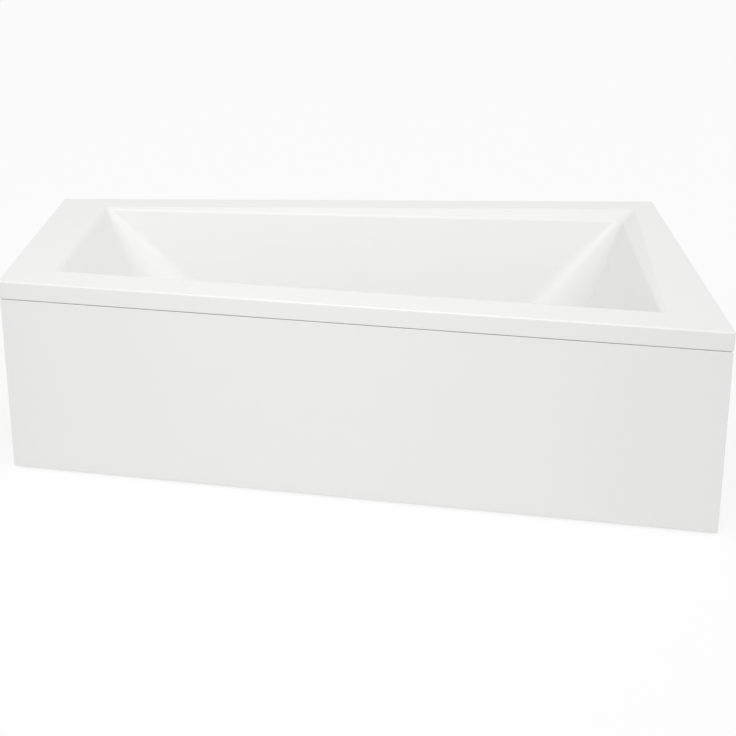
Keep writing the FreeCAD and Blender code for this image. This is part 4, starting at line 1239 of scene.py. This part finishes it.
@dataclass(frozen=True)
class FibreBacking:
    """Glass fibre rolled on behind the basin, with a lumpy face and an uneven upper edge.

    Attributes:
        shell: The shell that it backs.
        gap: Bond line behind the acrylic.
        thickness: Thickness of the layer.
        top_depth: Depth of its upper edge.
        edge_wander: How far the upper edge wanders down.
        edge_waves: Number of the upper edge's waves that are mostly kept.
        edge_fade: Power at which the wander fades down the wall.
        lump: Depth of the lumps.
        lump_waves: Number of the lumps' waves down the wall that are mostly kept.
        wave_fade: How much sooner waves fade down the wall.
        wave_share: How many times more waves are kept round the wall than down it.
        hole_gap: Gap round the fittings in its holes.
        arc_points: Points on each corner's arc.
        side_points: Points between two arcs.
        wall_steps: Rings on the walls.
        round_steps: Rings on the floor's round.
        flat_steps: Rings across the floor.
        seed: Start of the random draws.
    """

    shell: BathShell
    gap: float = 0.0003
    thickness: float = 0.004
    top_depth: float = 0.032
    edge_wander: float = 0.012
    edge_waves: int = 12
    edge_fade: int = 6
    lump: float = 0.0012
    lump_waves: int = 26
    wave_fade: float = 1.6
    wave_share: int = 4
    hole_gap: float = 0.0004
    arc_points: int = 22
    side_points: int = 80
    wall_steps: int = 46
    round_steps: int = 20
    flat_steps: int = 8
    seed: int = 7

    def lumps(self, rows: int, places: int, waves: int) -> Array:
        """Smooth random field from nought to one that closes on itself along its rows.

        White noise is taken to its waves, each wave is weakened by the bell curve of its number
        over the number that is kept, and the sum is stretched from nought to one.

        Args:
            rows: Rows of the field.
            places: Places in each row.
            waves: Number of waves that are mostly kept.

        Returns:
            The field, as row by place.
        """
        noise = np.random.default_rng(self.seed).standard_normal((rows, places))
        down = np.fft.fftfreq(rows)[:, None] * rows / waves * self.wave_fade
        around = np.fft.fftfreq(places)[None] * places / (self.wave_share * waves)
        smooth = np.fft.ifft2(np.fft.fft2(noise) * np.exp(-down ** 2 - around ** 2)).real
        return (smooth - smooth.min()) / (smooth.max() - smooth.min())

    def face(self, plan: RimPlan, skin: float) -> Array:
        """Rings down one face of the layer, a skin behind the basin's face.

        Args:
            plan: Outline of the rim.
            skin: Distance behind the basin's face.

        Returns:
            Points, as ring by place by three.
        """
        basin = self.shell.basin
        centre = basin.depth - basin.floor_radius
        wall = np.linspace(self.top_depth, centre, self.wall_steps)[:-1]
        landing = centre + quarter(basin.floor_radius + skin, self.round_steps)[1]
        return basin.rings(plan, np.concatenate([wall, landing]), skin)

    def lowered(self, rings: Array, wander: Array) -> Array:
        """Draws rings down by a wander, all of it at the top and none at the floor.

        A ring's share is its height over the floor as a share of the whole, to the power of the fade.

        Args:
            rings: Points, as ring by place by three.
            wander: Fall of the upper edge at each place.

        Returns:
            The points after the fall.
        """
        top, bottom = rings[0, 0, 2], rings[-1, 0, 2]
        left = np.clip((rings[..., 2:] - bottom) / (top - bottom), 0, 1) ** self.edge_fade
        return rings - np.concatenate([np.zeros_like(rings[..., :2]), wander[None] * left], axis=-1)

    def build(self) -> None:
        """Builds the layer's outside, its inside and the holes through both, and dresses it.

        The lumps move the outside towards a point over the drain.
        """
        basin, fittings = self.shell.basin, self.shell.fittings
        plan = RimPlan(self.shell.plan.half_length, self.shell.plan.back_y, arc_points=self.arc_points,
                       side_points=self.side_points)
        inner_skin = self.shell.skin + self.gap
        outer_skin = inner_skin + self.thickness
        wander = self.lumps(1, plan.row_length, self.edge_waves)[0][:, None] * self.edge_wander
        even = self.lowered(self.face(plan, outer_skin), wander)
        inside = self.lowered(self.face(plan, inner_skin), wander)
        field = self.lumps(len(even), plan.row_length, self.lump_waves)[..., None]
        centre = np.array([fittings.drain[0], fittings.drain[1], basin.rim_height])
        outside = even + unit(centre - even) * field * self.lump
        radius = fittings.hole_radius + self.hole_gap
        rows = np.concatenate([outside, fittings.to_drain(outside[-1], radius, self.flat_steps),
                               fittings.to_drain(inside[-1], radius, self.flat_steps)[::-1], inside[::-1]])
        ends = (0, len(rows) - 1)
        surface = fittings.opened(rows, plan, even, ends, (outer_skin, inner_skin), radius)
        make_piece("fibre_backing", surface, GLASS_FIBRE, Body.TUB.value,
                   ("glassfibre_backing",))


@dataclass(frozen=True)
class FrontPanel:
    """Apron sheet with all four edges folded back on a small round.

    Attributes:
        plan: Outline of the rim.
        half_width: Half its width along the back wall.
        bottom: Height of its lower edge.
        top: Height of its upper edge.
        recess: Distance of its face behind the rim's edge.
        fold: Depth of the folded edges.
        sheet: Thickness.
        edge_radius: Outer radius of the folds.
        inner_radius: Inner radius of the folds.
        corner_radius: Radius of the panel's four corners.
        corner_points: Points on each corner.
        long_points: Points on each level edge.
        short_points: Points on each upright edge.
        face_rows: Rows on the face and on the back.
        round_rows: Rows on the folds' outer round.
        fold_rows: Rows along the folds' outside.
        inner_rows: Rows along the folds' inside.
    """

    plan: RimPlan
    half_width: float
    bottom: float
    top: float
    recess: float = 0.002
    fold: float = 0.025
    sheet: float = 0.004
    edge_radius: float = 0.002
    inner_radius: float = 0.0005
    corner_radius: float = 0.004
    corner_points: int = 8
    long_points: int = 90
    short_points: int = 30
    face_rows: int = 12
    round_rows: int = 7
    fold_rows: int = 5
    inner_rows: int = 6

    @staticmethod
    def from_frame(plan: RimPlan) -> "FrontPanel":
        """Takes the panel's width and heights from its node."""
        low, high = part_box("front_panel")
        return FrontPanel(plan, high.x, low.z, high.z)

    def loop(self, inset: Array) -> tuple[Array, Array]:
        """Points once round upright rectangles, whose corner radius shrinks with the inset.

        Args:
            inset: Distance of each rectangle inside the panel's edge.

        Returns:
            Places along the back wall and heights, as rectangle by place.
        """
        middle = (self.top + self.bottom) / 2
        half_height = (self.top - self.bottom) / 2
        radius = np.maximum(self.corner_radius - inset, 0.0)[:, None]
        wide = np.maximum(self.half_width - inset, 0.0)[:, None]
        tall = np.maximum(half_height - inset, 0.0)[:, None]
        turn = np.linspace(0, math.pi / 2, self.corner_points)
        across = np.linspace(1, -1, self.long_points + 2)[1:-1]
        upright = np.linspace(1, -1, self.short_points + 2)[1:-1]
        x_parts, z_parts = [], []
        for start in range(4):
            angle = turn + start * math.pi / 2
            x_sign = 1 if start in (0, 3) else -1
            z_sign = 1 if start in (0, 1) else -1
            x_parts.append(x_sign * (wide - radius) + radius * np.cos(angle))
            z_parts.append(middle + z_sign * (tall - radius) + radius * np.sin(angle))
            if start % 2 == 0:
                x_parts.append(across * (wide - radius) * z_sign)
                z_parts.append(np.broadcast_to(middle + z_sign * tall, (len(inset), self.long_points)))
            else:
                x_parts.append(np.broadcast_to(x_sign * wide, (len(inset), self.short_points)))
                z_parts.append(middle - x_sign * upright * (tall - radius))
        return np.concatenate(x_parts, axis=1), np.concatenate(z_parts, axis=1)

    def build(self) -> None:
        """Builds the panel from the middle of its face, round its folds, to the middle of its back."""
        half_height = (self.top - self.bottom) / 2
        round_in, round_back = quarter(self.edge_radius, self.round_rows)
        fold_end = self.recess + self.fold
        inset = np.concatenate([
            np.linspace(half_height, self.edge_radius, self.face_rows), self.edge_radius - round_back[1:],
            np.zeros(self.fold_rows - 1), np.full(self.inner_rows, self.sheet),
            np.linspace(self.sheet + self.inner_radius, half_height, self.face_rows)])
        run = np.concatenate([
            np.full(self.face_rows, self.recess), self.recess + round_in[1:],
            np.linspace(self.recess + self.edge_radius, fold_end, self.fold_rows)[1:],
            np.linspace(fold_end, self.recess + self.sheet + self.inner_radius, self.inner_rows),
            np.full(self.face_rows, self.recess + self.sheet)])
        x, z = self.loop(inset)
        y = self.plan.front_y(x, run[:, None])
        surface = Surface.from_rows(np.stack([x, y, z], axis=-1))
        make_piece("apron_panel", surface, ACRYLIC, Body.PANEL.value, ("front_panel",))


@dataclass(frozen=True)
class Route:
    """Way of a hose or cable: down from the overflow, round one bend and along the floor to the drain.

    Attributes:
        line: Points read from the way's smooth spline.
        aside: Direction square to the way's upright plane.
    """

    line: Array
    aside: Array

    @staticmethod
    def of_node(node: str, plan: RimPlan, widest: float, end_radius: float, lead: float) -> "Route":
        """Finds a way from the box of its node.

        The spline's control points are the start, the corner below it and the end, with a point on
        each run that keeps the way straight where it leaves its fitting.

        Args:
            node: Node of the hose or cable.
            plan: Outline of the rim, whose slant the way follows.
            widest: Largest radius.
            end_radius: Radius at its lower end.
            lead: Distance of the points on the runs from the corner.

        Returns:
            The way.
        """
        low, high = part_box(node)
        top = np.array([low.x + widest, low.y + widest, high.z])
        across = end_radius * np.array([math.cos(plan.slant), math.sin(plan.slant)])
        end = np.array([high.x - across[0], high.y - across[1], low.z + widest])
        corner = np.array([top[0], top[1], end[2]])
        points = np.stack([top, corner + UP * lead, corner, corner + unit(end - corner) * lead, end])
        return Route(Route.smooth(points), plan.along)

    @staticmethod
    def smooth(points: Array, order: int = 3, steps: int = 60) -> Array:
        """Reads points from a smooth spline.

        Args:
            points: Control points of the spline.
            order: Order of the spline.
            steps: Steps between two control points.

        Returns:
            Points from end to end of the spline.
        """
        curve = bpy.data.curves.new("route", "CURVE")
        curve.dimensions = "3D"
        spline = curve.splines.new("NURBS")
        spline.points.add(len(points) - 1)
        spline.points.foreach_set("co", np.column_stack([points, np.ones(len(points))]).ravel())
        spline.order_u = order
        spline.use_endpoint_u = True
        spline.resolution_u = steps
        holder = bpy.data.objects.new("route", curve)
        mesh = bpy.data.meshes.new_from_object(holder)
        line = np.empty(3 * len(mesh.vertices))
        mesh.vertices.foreach_get("co", line)
        bpy.data.meshes.remove(mesh)
        bpy.data.objects.remove(holder)
        bpy.data.curves.remove(curve)
        return line.reshape(-1, 3)

    @property
    def travelled(self) -> Array:
        """Distance along the way of each of its points: the steps before it added up."""
        steps = np.linalg.norm(np.diff(self.line, axis=0), axis=1)
        return np.concatenate([[0.0], np.cumsum(steps)])

    @property
    def length(self) -> float:
        """Whole length of the way."""
        return float(self.travelled[-1])

    def along(self, values: Array, distance: Array) -> Array:
        """Returns values at the way's points as they are at distances along it."""
        return np.stack([np.interp(distance, self.travelled, column) for column in values.T], axis=-1)

    def tube(self, distance: Array, radius: Array, places: int) -> Array:
        """Rings square to the way.

        A ring's point is its station plus its radius times the cosine of its place's angle aside
        and the sine square to both the way and aside.

        Args:
            distance: Distance of each ring along the way.
            radius: Radius of each ring.
            places: Points in each ring.

        Returns:
            Points, as ring by place by three.
        """
        station = self.along(self.line, distance)
        ahead = unit(self.along(np.gradient(self.line, self.travelled, axis=0), distance))
        outward = np.cross(self.aside, ahead)
        angle = np.arange(places) * FULL_TURN / places
        arm = self.aside * np.cos(angle)[None, :, None] + outward[:, None] * np.sin(angle)[None, :, None]
        return station[:, None] + arm * radius[:, None, None]


@dataclass(frozen=True)
class WasteLine:
    """Ribbed overflow hose and the pull cable beside it.

    Attributes:
        plan: Outline of the rim.
        bore: Radius of the hose's bore.
        valley: Radius between the ribs.
        crest: Radius on the ribs.
        pitch: Distance from rib to rib.
        cuff: Radius of the plain ends.
        cuff_length: Length of the plain ends.
        cuff_start: Distance from the hose's end to a cuff's first even ring.
        cuff_gap: Distance from a cuff's last even ring to the ribs.
        chamfer: Chamfer on the hose's ends.
        lead: Distance from the bend's corner to the points that keep both runs straight.
        cable_radius: Radius of the pull cable.
        rib_rows: Rings on each rib.
        cuff_rows: Even rings on each cuff.
        bore_rows: Rings down the bore.
        cable_rows: Rings along the cable.
        hose_points: Points once round the hose.
        cable_points: Points once round the cable.
    """

    plan: RimPlan
    bore: float = 0.0123
    valley: float = 0.0141
    crest: float = 0.0167
    pitch: float = 0.006
    cuff: float = 0.015
    cuff_length: float = 0.03
    cuff_start: float = 0.004
    cuff_gap: float = 0.001
    chamfer: float = 0.0006
    lead: float = 0.156
    cable_radius: float = 0.0025
    rib_rows: int = 8
    cuff_rows: int = 6
    bore_rows: int = 40
    cable_rows: int = 90
    hose_points: int = 40
    cable_points: int = 20

    def build_hose(self) -> None:
        """Builds the hose: a rib swells as the root of a raised cosine between two valleys."""
        route = Route.of_node("overflow_hose", self.plan, self.crest, self.cuff, self.lead)
        ribbed = route.length - 2 * self.cuff_length
        ribs = int(ribbed / self.pitch)
        inside = np.linspace(0, ribbed, ribs * self.rib_rows + 1)
        swell = np.sqrt(0.5 - 0.5 * np.cos(inside / ribbed * ribs * FULL_TURN))
        even = np.linspace(self.cuff_start, self.cuff_length - self.cuff_gap, self.cuff_rows)
        start = np.concatenate([[0.0, self.chamfer], even])
        distance = np.concatenate([start, self.cuff_length + inside, route.length - start[::-1]])
        end = np.array([self.cuff - self.chamfer] + [self.cuff] * (self.cuff_rows + 1))
        radius = np.concatenate([end, self.valley + (self.crest - self.valley) * swell, end[::-1]])
        outer = route.tube(distance, radius, self.hose_points)
        back = np.linspace(route.length, 0, self.bore_rows)
        inner = route.tube(back, np.full(len(back), self.bore), self.hose_points)
        surface = Surface.from_rows(np.concatenate([outer, inner]), closed=True)
        make_piece("ribbed_hose", surface, HOSE_PLASTIC, Body.TUB.value, ("overflow_hose",))

    def build_cable(self) -> None:
        """Builds the pull cable as a plain tube that closes at both ends."""
        route = Route.of_node("pull_cable", self.plan, self.cable_radius, self.cable_radius, self.lead)
        distance = np.linspace(0, route.length, self.cable_rows)
        distance = np.concatenate([[0.0], distance, [route.length]])
        radius = np.full(len(distance), self.cable_radius)
        radius[[0, -1]] = 0.0
        surface = Surface.from_rows(route.tube(distance, radius, self.cable_points))
        make_piece("cable_sheath", surface, CABLE_SHEATH, Body.TUB.value, ("pull_cable",))


@dataclass(frozen=True)
class Feet:
    """Threaded studs, round pads and hexagon nuts of the four feet.

    Attributes:
        places: Corners of the bathtub that have a foot.
        stud_radius: Outer radius of the thread.
        stud_chamfer: Chamfer at a stud's upper end.
        thread_pitch: Rise of the thread per turn.
        thread_depth: Depth of the thread.
        clearance: Gap round a stud in its pad and nuts.
        pad_edge: Radius of a pad's edges.
        pad_plate: Height of a pad's plate, and of the slope above it.
        pad_flat: Radius of the first row under a pad, as a share of the pad's.
        boss_radius: Radius of a pad's boss.
        boss_round: Inset of the middle row on the boss's edge, as a share of the edge's radius.
        socket_bottom: Height of the socket's bottom over the pad's underside.
        nut_flats: Distance across a nut's flats.
        nut_height: Height of a nut.
        nut_chamfer: Height of a nut's chamfer, as a share of the flats.
        nut_face: Radius of a nut's end face, as a share of half the flats.
        nut_flare: Growth of that radius with the distance from the end face.
        nut_rows: Rows from a nut's end face, as shares of the chamfer's height.
        rail_sheet: Thickness of the rail's web between two nuts.
        rows_per_turn: Rows on each turn of the thread.
        edge_rows: Rows on a pad's edge.
        slope_rows: Rows on a pad's slope.
        stud_points: Points once round a stud.
        pad_points: Points once round a pad or a nut.
    """

    places: tuple[str, ...] = ("front_left", "back_left", "front_right", "back_right")
    stud_radius: float = 0.006
    stud_chamfer: float = 0.0015
    thread_pitch: float = 0.00175
    thread_depth: float = 0.0009
    clearance: float = 0.00008
    pad_edge: float = 0.0015
    pad_plate: float = 0.007
    pad_flat: float = 0.6
    boss_radius: float = 0.013
    boss_round: float = 0.3
    socket_bottom: float = 0.005
    nut_flats: float = 0.019
    nut_height: float = 0.010
    nut_chamfer: float = 0.055
    nut_face: float = 0.97
    nut_flare: float = 2.2
    nut_rows: tuple[float, ...] = (0.0, 0.0, 0.25, 0.5, 1.0, 5.0)
    rail_sheet: float = 0.0025
    rows_per_turn: int = 6
    edge_rows: int = 5
    slope_rows: int = 9
    stud_points: int = 28
    pad_points: int = 72

    def axis(self, place: str) -> Array:
        """Returns the middle of a stud, seen from above."""
        low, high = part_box("foot_stud_" + place)
        return (np.array(low) + np.array(high)) / 2

    def build_stud(self, place: str) -> None:
        """Builds a stud: its radius falls and climbs once per pitch, ahead of its angle's share of a turn.

        Args:
            place: Corner of the bathtub.
        """
        low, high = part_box("foot_stud_" + place)
        turns = (high.z - low.z) / self.thread_pitch
        heights = np.linspace(low.z, high.z, int(turns * self.rows_per_turn))
        share = np.arange(self.stud_points) / self.stud_points
        phase = (heights[:, None] / self.thread_pitch - share) % 1
        thread = self.stud_radius - self.thread_depth * np.abs(2 * phase - 1)
        chamfer = self.stud_radius - self.stud_chamfer + (high.z - heights)[:, None]
        closing = np.zeros((1, self.stud_points))
        radii = np.concatenate([closing, np.minimum(thread, chamfer), closing])
        heights = np.concatenate([[low.z], heights, [high.z]])
        surface = turned(self.axis(place), radii, heights, self.stud_points)
        make_piece("threaded_stud_" + place, surface, ZINC, "foot_" + place,
                   ("foot_stud_" + place,))

    def build_pad(self, place: str) -> None:
        """Builds a pad by turning its profile: a rounded plate, a hollow slope and a boss with its socket.

        The slope rises with the square of its share of the way from the plate's edge to the boss.

        Args:
            place: Corner of the bathtub.
        """
        low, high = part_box("foot_pad_" + place)
        radius = (high.x - low.x) / 2
        boss, edge, plate = self.boss_radius, self.pad_edge, self.pad_plate
        nick = edge * self.boss_round
        socket, socket_bottom = self.stud_radius + self.clearance, low.z + self.socket_bottom
        step_in, step_up = quarter(edge, self.edge_rows)
        slope = np.linspace(0, 1, self.slope_rows)
        slope_radii = radius - edge - (radius - edge - boss) * slope
        profile = [(0.0, low.z), (radius * self.pad_flat, low.z)]
        profile += zip(radius - edge + step_up, low.z + step_in)
        profile += zip(radius - step_in, low.z + plate - edge + step_up)
        profile += zip(slope_radii, low.z + plate + plate * slope ** 2)
        profile += [(boss, high.z - edge), (boss - nick, high.z - nick), (boss - edge, high.z)]
        profile += [(socket, high.z), (socket, socket_bottom), (0.0, socket_bottom)]
        outline = np.array(profile)
        surface = turned(self.axis(place), outline[:, 0], outline[:, 1], self.pad_points)
        make_piece("foot_pad_turned_" + place, surface, FOOT_PLASTIC, "foot_" + place,
                   ("foot_pad_" + place,))

    def nut(self, centre: Array, bottom: float) -> Surface:
        """One nut: the lesser of the hexagon's radius and the radius of its chamfer, round a plain bore.

        The hexagon's radius is half the flats over the cosine of the angle from the middle of a flat.

        Args:
            centre: Middle of the nut, seen from above.
            bottom: Height of its lower face.

        Returns:
            The surface.
        """
        angle = np.arange(self.pad_points) * FULL_TURN / self.pad_points
        sixth = FULL_TURN / 6
        hexagon = self.nut_flats / 2 / np.cos(angle % sixth - sixth / 2)
        rows = np.array(self.nut_rows) * (self.nut_flats * self.nut_chamfer)
        rise = np.concatenate([rows, self.nut_height - rows[:-1][::-1]])
        ends = np.minimum(rise, self.nut_height - rise)
        limit = self.nut_flats / 2 * self.nut_face + ends * self.nut_flare
        radii = np.minimum(hexagon[None], limit[:, None])
        bore = np.full((1, self.pad_points), self.stud_radius + self.clearance)
        radii = np.concatenate([bore, radii[1:-1], bore, bore])
        heights = bottom + np.concatenate([[0.0], rise[1:-1], [self.nut_height, 0.0]])
        return turned(centre, radii, heights, self.pad_points)

    def build_nuts(self) -> None:
        """Builds the nuts above and below both rails' webs as one piece."""
        web_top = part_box("leg_rail_left")[1].z
        bottoms = (web_top, web_top - self.rail_sheet - self.nut_height)
        nuts = [self.nut(self.axis(place), bottom) for place in self.places for bottom in bottoms]
        surface = nuts[0]
        for other in nuts[1:]:
            surface = surface.joined(other)
        make_piece("hexagon_nuts", surface, ZINC, Body.TUB.value, ("foot_nuts",))

    def build(self) -> None:
        """Builds every foot and the nuts."""
        for place in self.places:
            self.build_stud(place)
            self.build_pad(place)
        self.build_nuts()


@dataclass(frozen=True)
class CarriedPieces:
    """Nodes whose shape stays: each gets broken edges and its finish.

    Attributes:
        dressings: Finish and edge width of each node.
    """

    dressings: dict[str, tuple[Finish, float]]

    @staticmethod
    def of_bathtub() -> "CarriedPieces":
        """Lists the carried-over nodes with their finishes.

        Returns:
            The list.
        """
        back = SawnWood("batten_wood_back", Grain.ALONG_BACK)
        ends = SawnWood("batten_wood_ends", Grain.ALONG_END)
        front = SawnWood("batten_wood_front", Grain.ALONG_FRONT)
        rows: list[tuple[Finish, float, tuple[str, ...]]] = [
            (CHIPBOARD, 0.0008, ("base_board", "panel_stiffener")),
            (back, 0.0012, ("rim_batten_back",)),
            (ends, 0.0012, ("rim_batten_left", "rim_batten_right")),
            (front, 0.0012, ("rim_batten_front",)),
            (GALVANISED, 0.0006, ("leg_rail_left", "leg_rail_right", "panel_arm_left", "panel_arm_right",
                                  "wall_bracket_back_left", "wall_bracket_back_right", "wall_bracket_side",
                                  "panel_strike_plates", "hose_clamps")),
            (ZINC, 0.0003, ("rail_screws", "clip_screws", "wall_bracket_screws", "arm_bolts", "lever_pin")),
            (CLIP_PLASTIC, 0.0005, ("panel_clips",)),
            (MAGNET, 0.0005, ("panel_magnets",)),
            (CHROME, 0.0004, ("drain_flange", "plug_cap", "overflow_faceplate", "overflow_knob",
                              "knob_spindle")),
            (RUBBER, 0.0003, ("drain_seal_top", "drain_seal_bottom", "plug_seal", "overflow_seal")),
            (WASTE_PLASTIC, 0.0005, ("drain_body", "overflow_body", "trap_body", "trap_cap", "trap_inlet_nut",
                                     "trap_outlet_nut", "outlet_pipe", "lift_lever")),
        ]
        return CarriedPieces({node: (finish, bevel) for finish, bevel, nodes in rows for node in nodes})

    def build(self) -> None:
        """Softens and dresses every carried-over node."""
        for node, (finish, bevel) in self.dressings.items():
            soften(node, finish, bevel)


def aimed(name: str, data: bpy.types.ID, place: Point, direction: Vector) -> bpy.types.Object:
    """Hangs a lamp or a camera in its place and turns it.

    Args:
        name: Name of the object.
        data: Light or camera that it holds.
        place: Its place.
        direction: Direction that it faces.

    Returns:
        The object.
    """
    holder = bpy.data.objects.new(name, data)
    turn = direction.to_track_quat("-Z", "Y").to_matrix().to_4x4()
    holder.matrix_world = Matrix.Translation(place) @ turn
    bpy.context.scene.collection.objects.link(holder)
    return holder


@dataclass(frozen=True)
class Lamp(ABC):
    """Lamp that is turned to a point.

    Attributes:
        name: Name of the lamp.
        place: Place of the lamp.
        aim: Point that it is turned to.
    """

    name: str
    place: Point
    aim: Point

    @abstractmethod
    def light(self) -> bpy.types.Light:
        """Returns the light that the lamp holds."""

    def build(self) -> None:
        """Hangs the lamp in its place and turns it."""
        lamp = aimed(self.name, self.light(), self.place, Vector(self.aim) - Vector(self.place))
        lamp.visible_camera = False


@dataclass(frozen=True)
class EvenLamp(Lamp):
    """Soft light that falls evenly from one side.

    Attributes:
        strength: Light on a surface that faces it, in watts per square metre.
        spread: Angle that the light fills, in degrees.
    """

    strength: float
    spread: float = 60.0

    def light(self) -> bpy.types.Light:
        """Makes a sun as wide as the spread.

        Returns:
            The light.
        """
        light = bpy.data.lights.new(self.name, "SUN")
        light.energy = self.strength
        light.angle = math.radians(self.spread)
        return light


@dataclass(frozen=True)
class BeamLamp(Lamp):
    """Soft beam from nearby, brightest at the point that it is turned to.

    Attributes:
        power: Power in watts.
        width: Angle of the whole beam, in degrees.
        radius: Radius of the lamp.
    """

    power: float
    width: float
    radius: float

    def light(self) -> bpy.types.Light:
        """Makes a spot that fades from its middle to its edge.

        Returns:
            The light.
        """
        light = bpy.data.lights.new(self.name, "SPOT")
        light.energy = self.power
        light.spot_size = math.radians(self.width)
        light.spot_blend = 1.0
        light.shadow_soft_size = self.radius
        return light


@dataclass(frozen=True)
class Studio:
    """Pale floor, white surroundings, soft lamps and the camera at the photograph's angle.

    Attributes:
        lamps: Soft lamps.
        sky: Strength of the surroundings' light on the object.
        floor_half: Half the side of the floor.
        floor_colour: Colour of the floor where it is seen.
        floor_bounce: Colour of the light that the floor throws back on the object.
        floor_white: Share of plain white in what the camera sees of the floor.
        camera_place: Place of the camera.
        camera_yaw: Turn of the camera to the right of +Y, in radians.
        camera_tilt: Tilt of the camera below the level, in radians.
        lens: Lens in millimetres.
        sensor: Width of the sensor in millimetres.
        shift: Upward shift of the view, as a share of the picture's width.
        sight: Greatest distance that the camera sees.
    """

    lamps: tuple[Lamp, ...] = (
        EvenLamp("top_lamp", (2.6, -1.2, 3.6), (0.0, 0.0, 0.0), 0.40),
        EvenLamp("front_lamp", (-0.6, -3.4, 2.2), (0.0, 0.0, 0.0), 0.56),
        BeamLamp("near_lamp", (-0.5, -1.9, 2.3), (-0.1, -0.3, 0.2), 67.0, 84.0, 1.0),
    )
    sky: float = 0.63
    floor_half: float = 60.0
    floor_colour: Colour = (0.98, 0.98, 0.98)
    floor_bounce: Colour = (0.6, 0.6, 0.6)
    floor_white: float = 0.82
    camera_place: Point = (0.0945, -3.2356, 1.6112)
    camera_yaw: float = -0.0171
    camera_tilt: float = 0.3046
    lens: float = 65.9
    sensor: float = 36.0
    shift: float = -0.2
    sight: float = 200.0

    @staticmethod
    def seen_directly(tree: bpy.types.NodeTree) -> Socket:
        """Finds the rays that see a thing itself, and not only its light.

        Args:
            tree: Tree that the nodes go into.

        Returns:
            A factor of one for rays from the camera, a mirror or glass.
        """
        path = tree.nodes.new("ShaderNodeLightPath")
        factor = path.outputs["Is Camera Ray"]
        for name in ("Is Glossy Ray", "Is Transmission Ray"):
            factor = larger_of(tree, factor, path.outputs[name])
        return factor

    def build_world(self) -> None:
        """Makes surroundings that light the object softly and are white where they are seen."""
        world = bpy.data.worlds.new("white_surroundings")
        world.use_nodes = True
        tree = world.node_tree
        tree.nodes.clear()
        output = tree.nodes.new("ShaderNodeOutputWorld")
        mix = tree.nodes.new("ShaderNodeMixShader")
        for strength, socket in ((self.sky, mix.inputs[1]), (1.0, mix.inputs[2])):
            background = tree.nodes.new("ShaderNodeBackground")
            background.inputs["Color"].default_value = (1.0, 1.0, 1.0, 1.0)
            background.inputs["Strength"].default_value = strength
            tree.links.new(background.outputs["Background"], socket)
        tree.links.new(self.seen_directly(tree), mix.inputs["Fac"])
        tree.links.new(mix.outputs["Shader"], output.inputs["Surface"])
        bpy.context.scene.world = world

    def build_floor(self) -> None:
        """Lays a plain pale floor that keeps a soft shadow."""
        half = self.floor_half
        mesh = bpy.data.meshes.new("studio_floor")
        corners = [(-half, -half, 0), (half, -half, 0), (half, half, 0), (-half, half, 0)]
        mesh.from_pydata(corners, [], [(0, 1, 2, 3)])
        floor = bpy.data.objects.new("studio_floor", mesh)
        bpy.context.scene.collection.objects.link(floor)
        material = bpy.data.materials.new("studio_floor")
        material.use_nodes = True
        tree = material.node_tree
        tree.nodes.clear()
        output = tree.nodes.new("ShaderNodeOutputMaterial")
        shown, whole = tree.nodes.new("ShaderNodeMixShader"), tree.nodes.new("ShaderNodeMixShader")
        for colour, socket in ((self.floor_colour, shown.inputs[1]), (self.floor_bounce, whole.inputs[1])):
            matt = tree.nodes.new("ShaderNodeBsdfDiffuse")
            matt.inputs["Color"].default_value = (*colour, 1.0)
            tree.links.new(matt.outputs["BSDF"], socket)
        glow = tree.nodes.new("ShaderNodeEmission")
        shown.inputs["Fac"].default_value = self.floor_white
        tree.links.new(glow.outputs["Emission"], shown.inputs[2])
        tree.links.new(self.seen_directly(tree), whole.inputs["Fac"])
        tree.links.new(shown.outputs["Shader"], whole.inputs[2])
        tree.links.new(whole.outputs["Shader"], output.inputs["Surface"])
        mesh.materials.append(material)

    def build_camera(self) -> None:
        """Sets up the camera and makes it the scene's own."""
        data = bpy.data.cameras.new("main_camera")
        data.sensor_width = self.sensor
        data.lens = self.lens
        data.shift_y = self.shift
        data.clip_end = self.sight
        level = math.cos(self.camera_tilt)
        ahead = Vector((math.sin(self.camera_yaw) * level, math.cos(self.camera_yaw) * level,
                        -math.sin(self.camera_tilt)))
        bpy.context.scene.camera = aimed("main_camera", data, self.camera_place, ahead)

    def build(self) -> None:
        """Sets up everything round the bathtub."""
        self.build_world()
        self.build_floor()
        for lamp in self.lamps:
            lamp.build()
        self.build_camera()
        bpy.context.scene.view_settings.view_transform = "Standard"


def main() -> None:
    """Builds the bathtub's looks piece by piece, then the studio."""
    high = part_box("bath_shell")[1]
    plan = RimPlan(high.x, high.y)
    shell = BathShell(plan, BasinForm(high.z), Fittings.from_frame())
    shell.build()
    FibreBacking(shell).build()
    FrontPanel.from_frame(plan).build()
    waste = WasteLine(plan)
    waste.build_hose()
    waste.build_cable()
    Feet().build()
    CarriedPieces.of_bathtub().build()
    Studio().build()


if __name__ == "__main__":
    main()
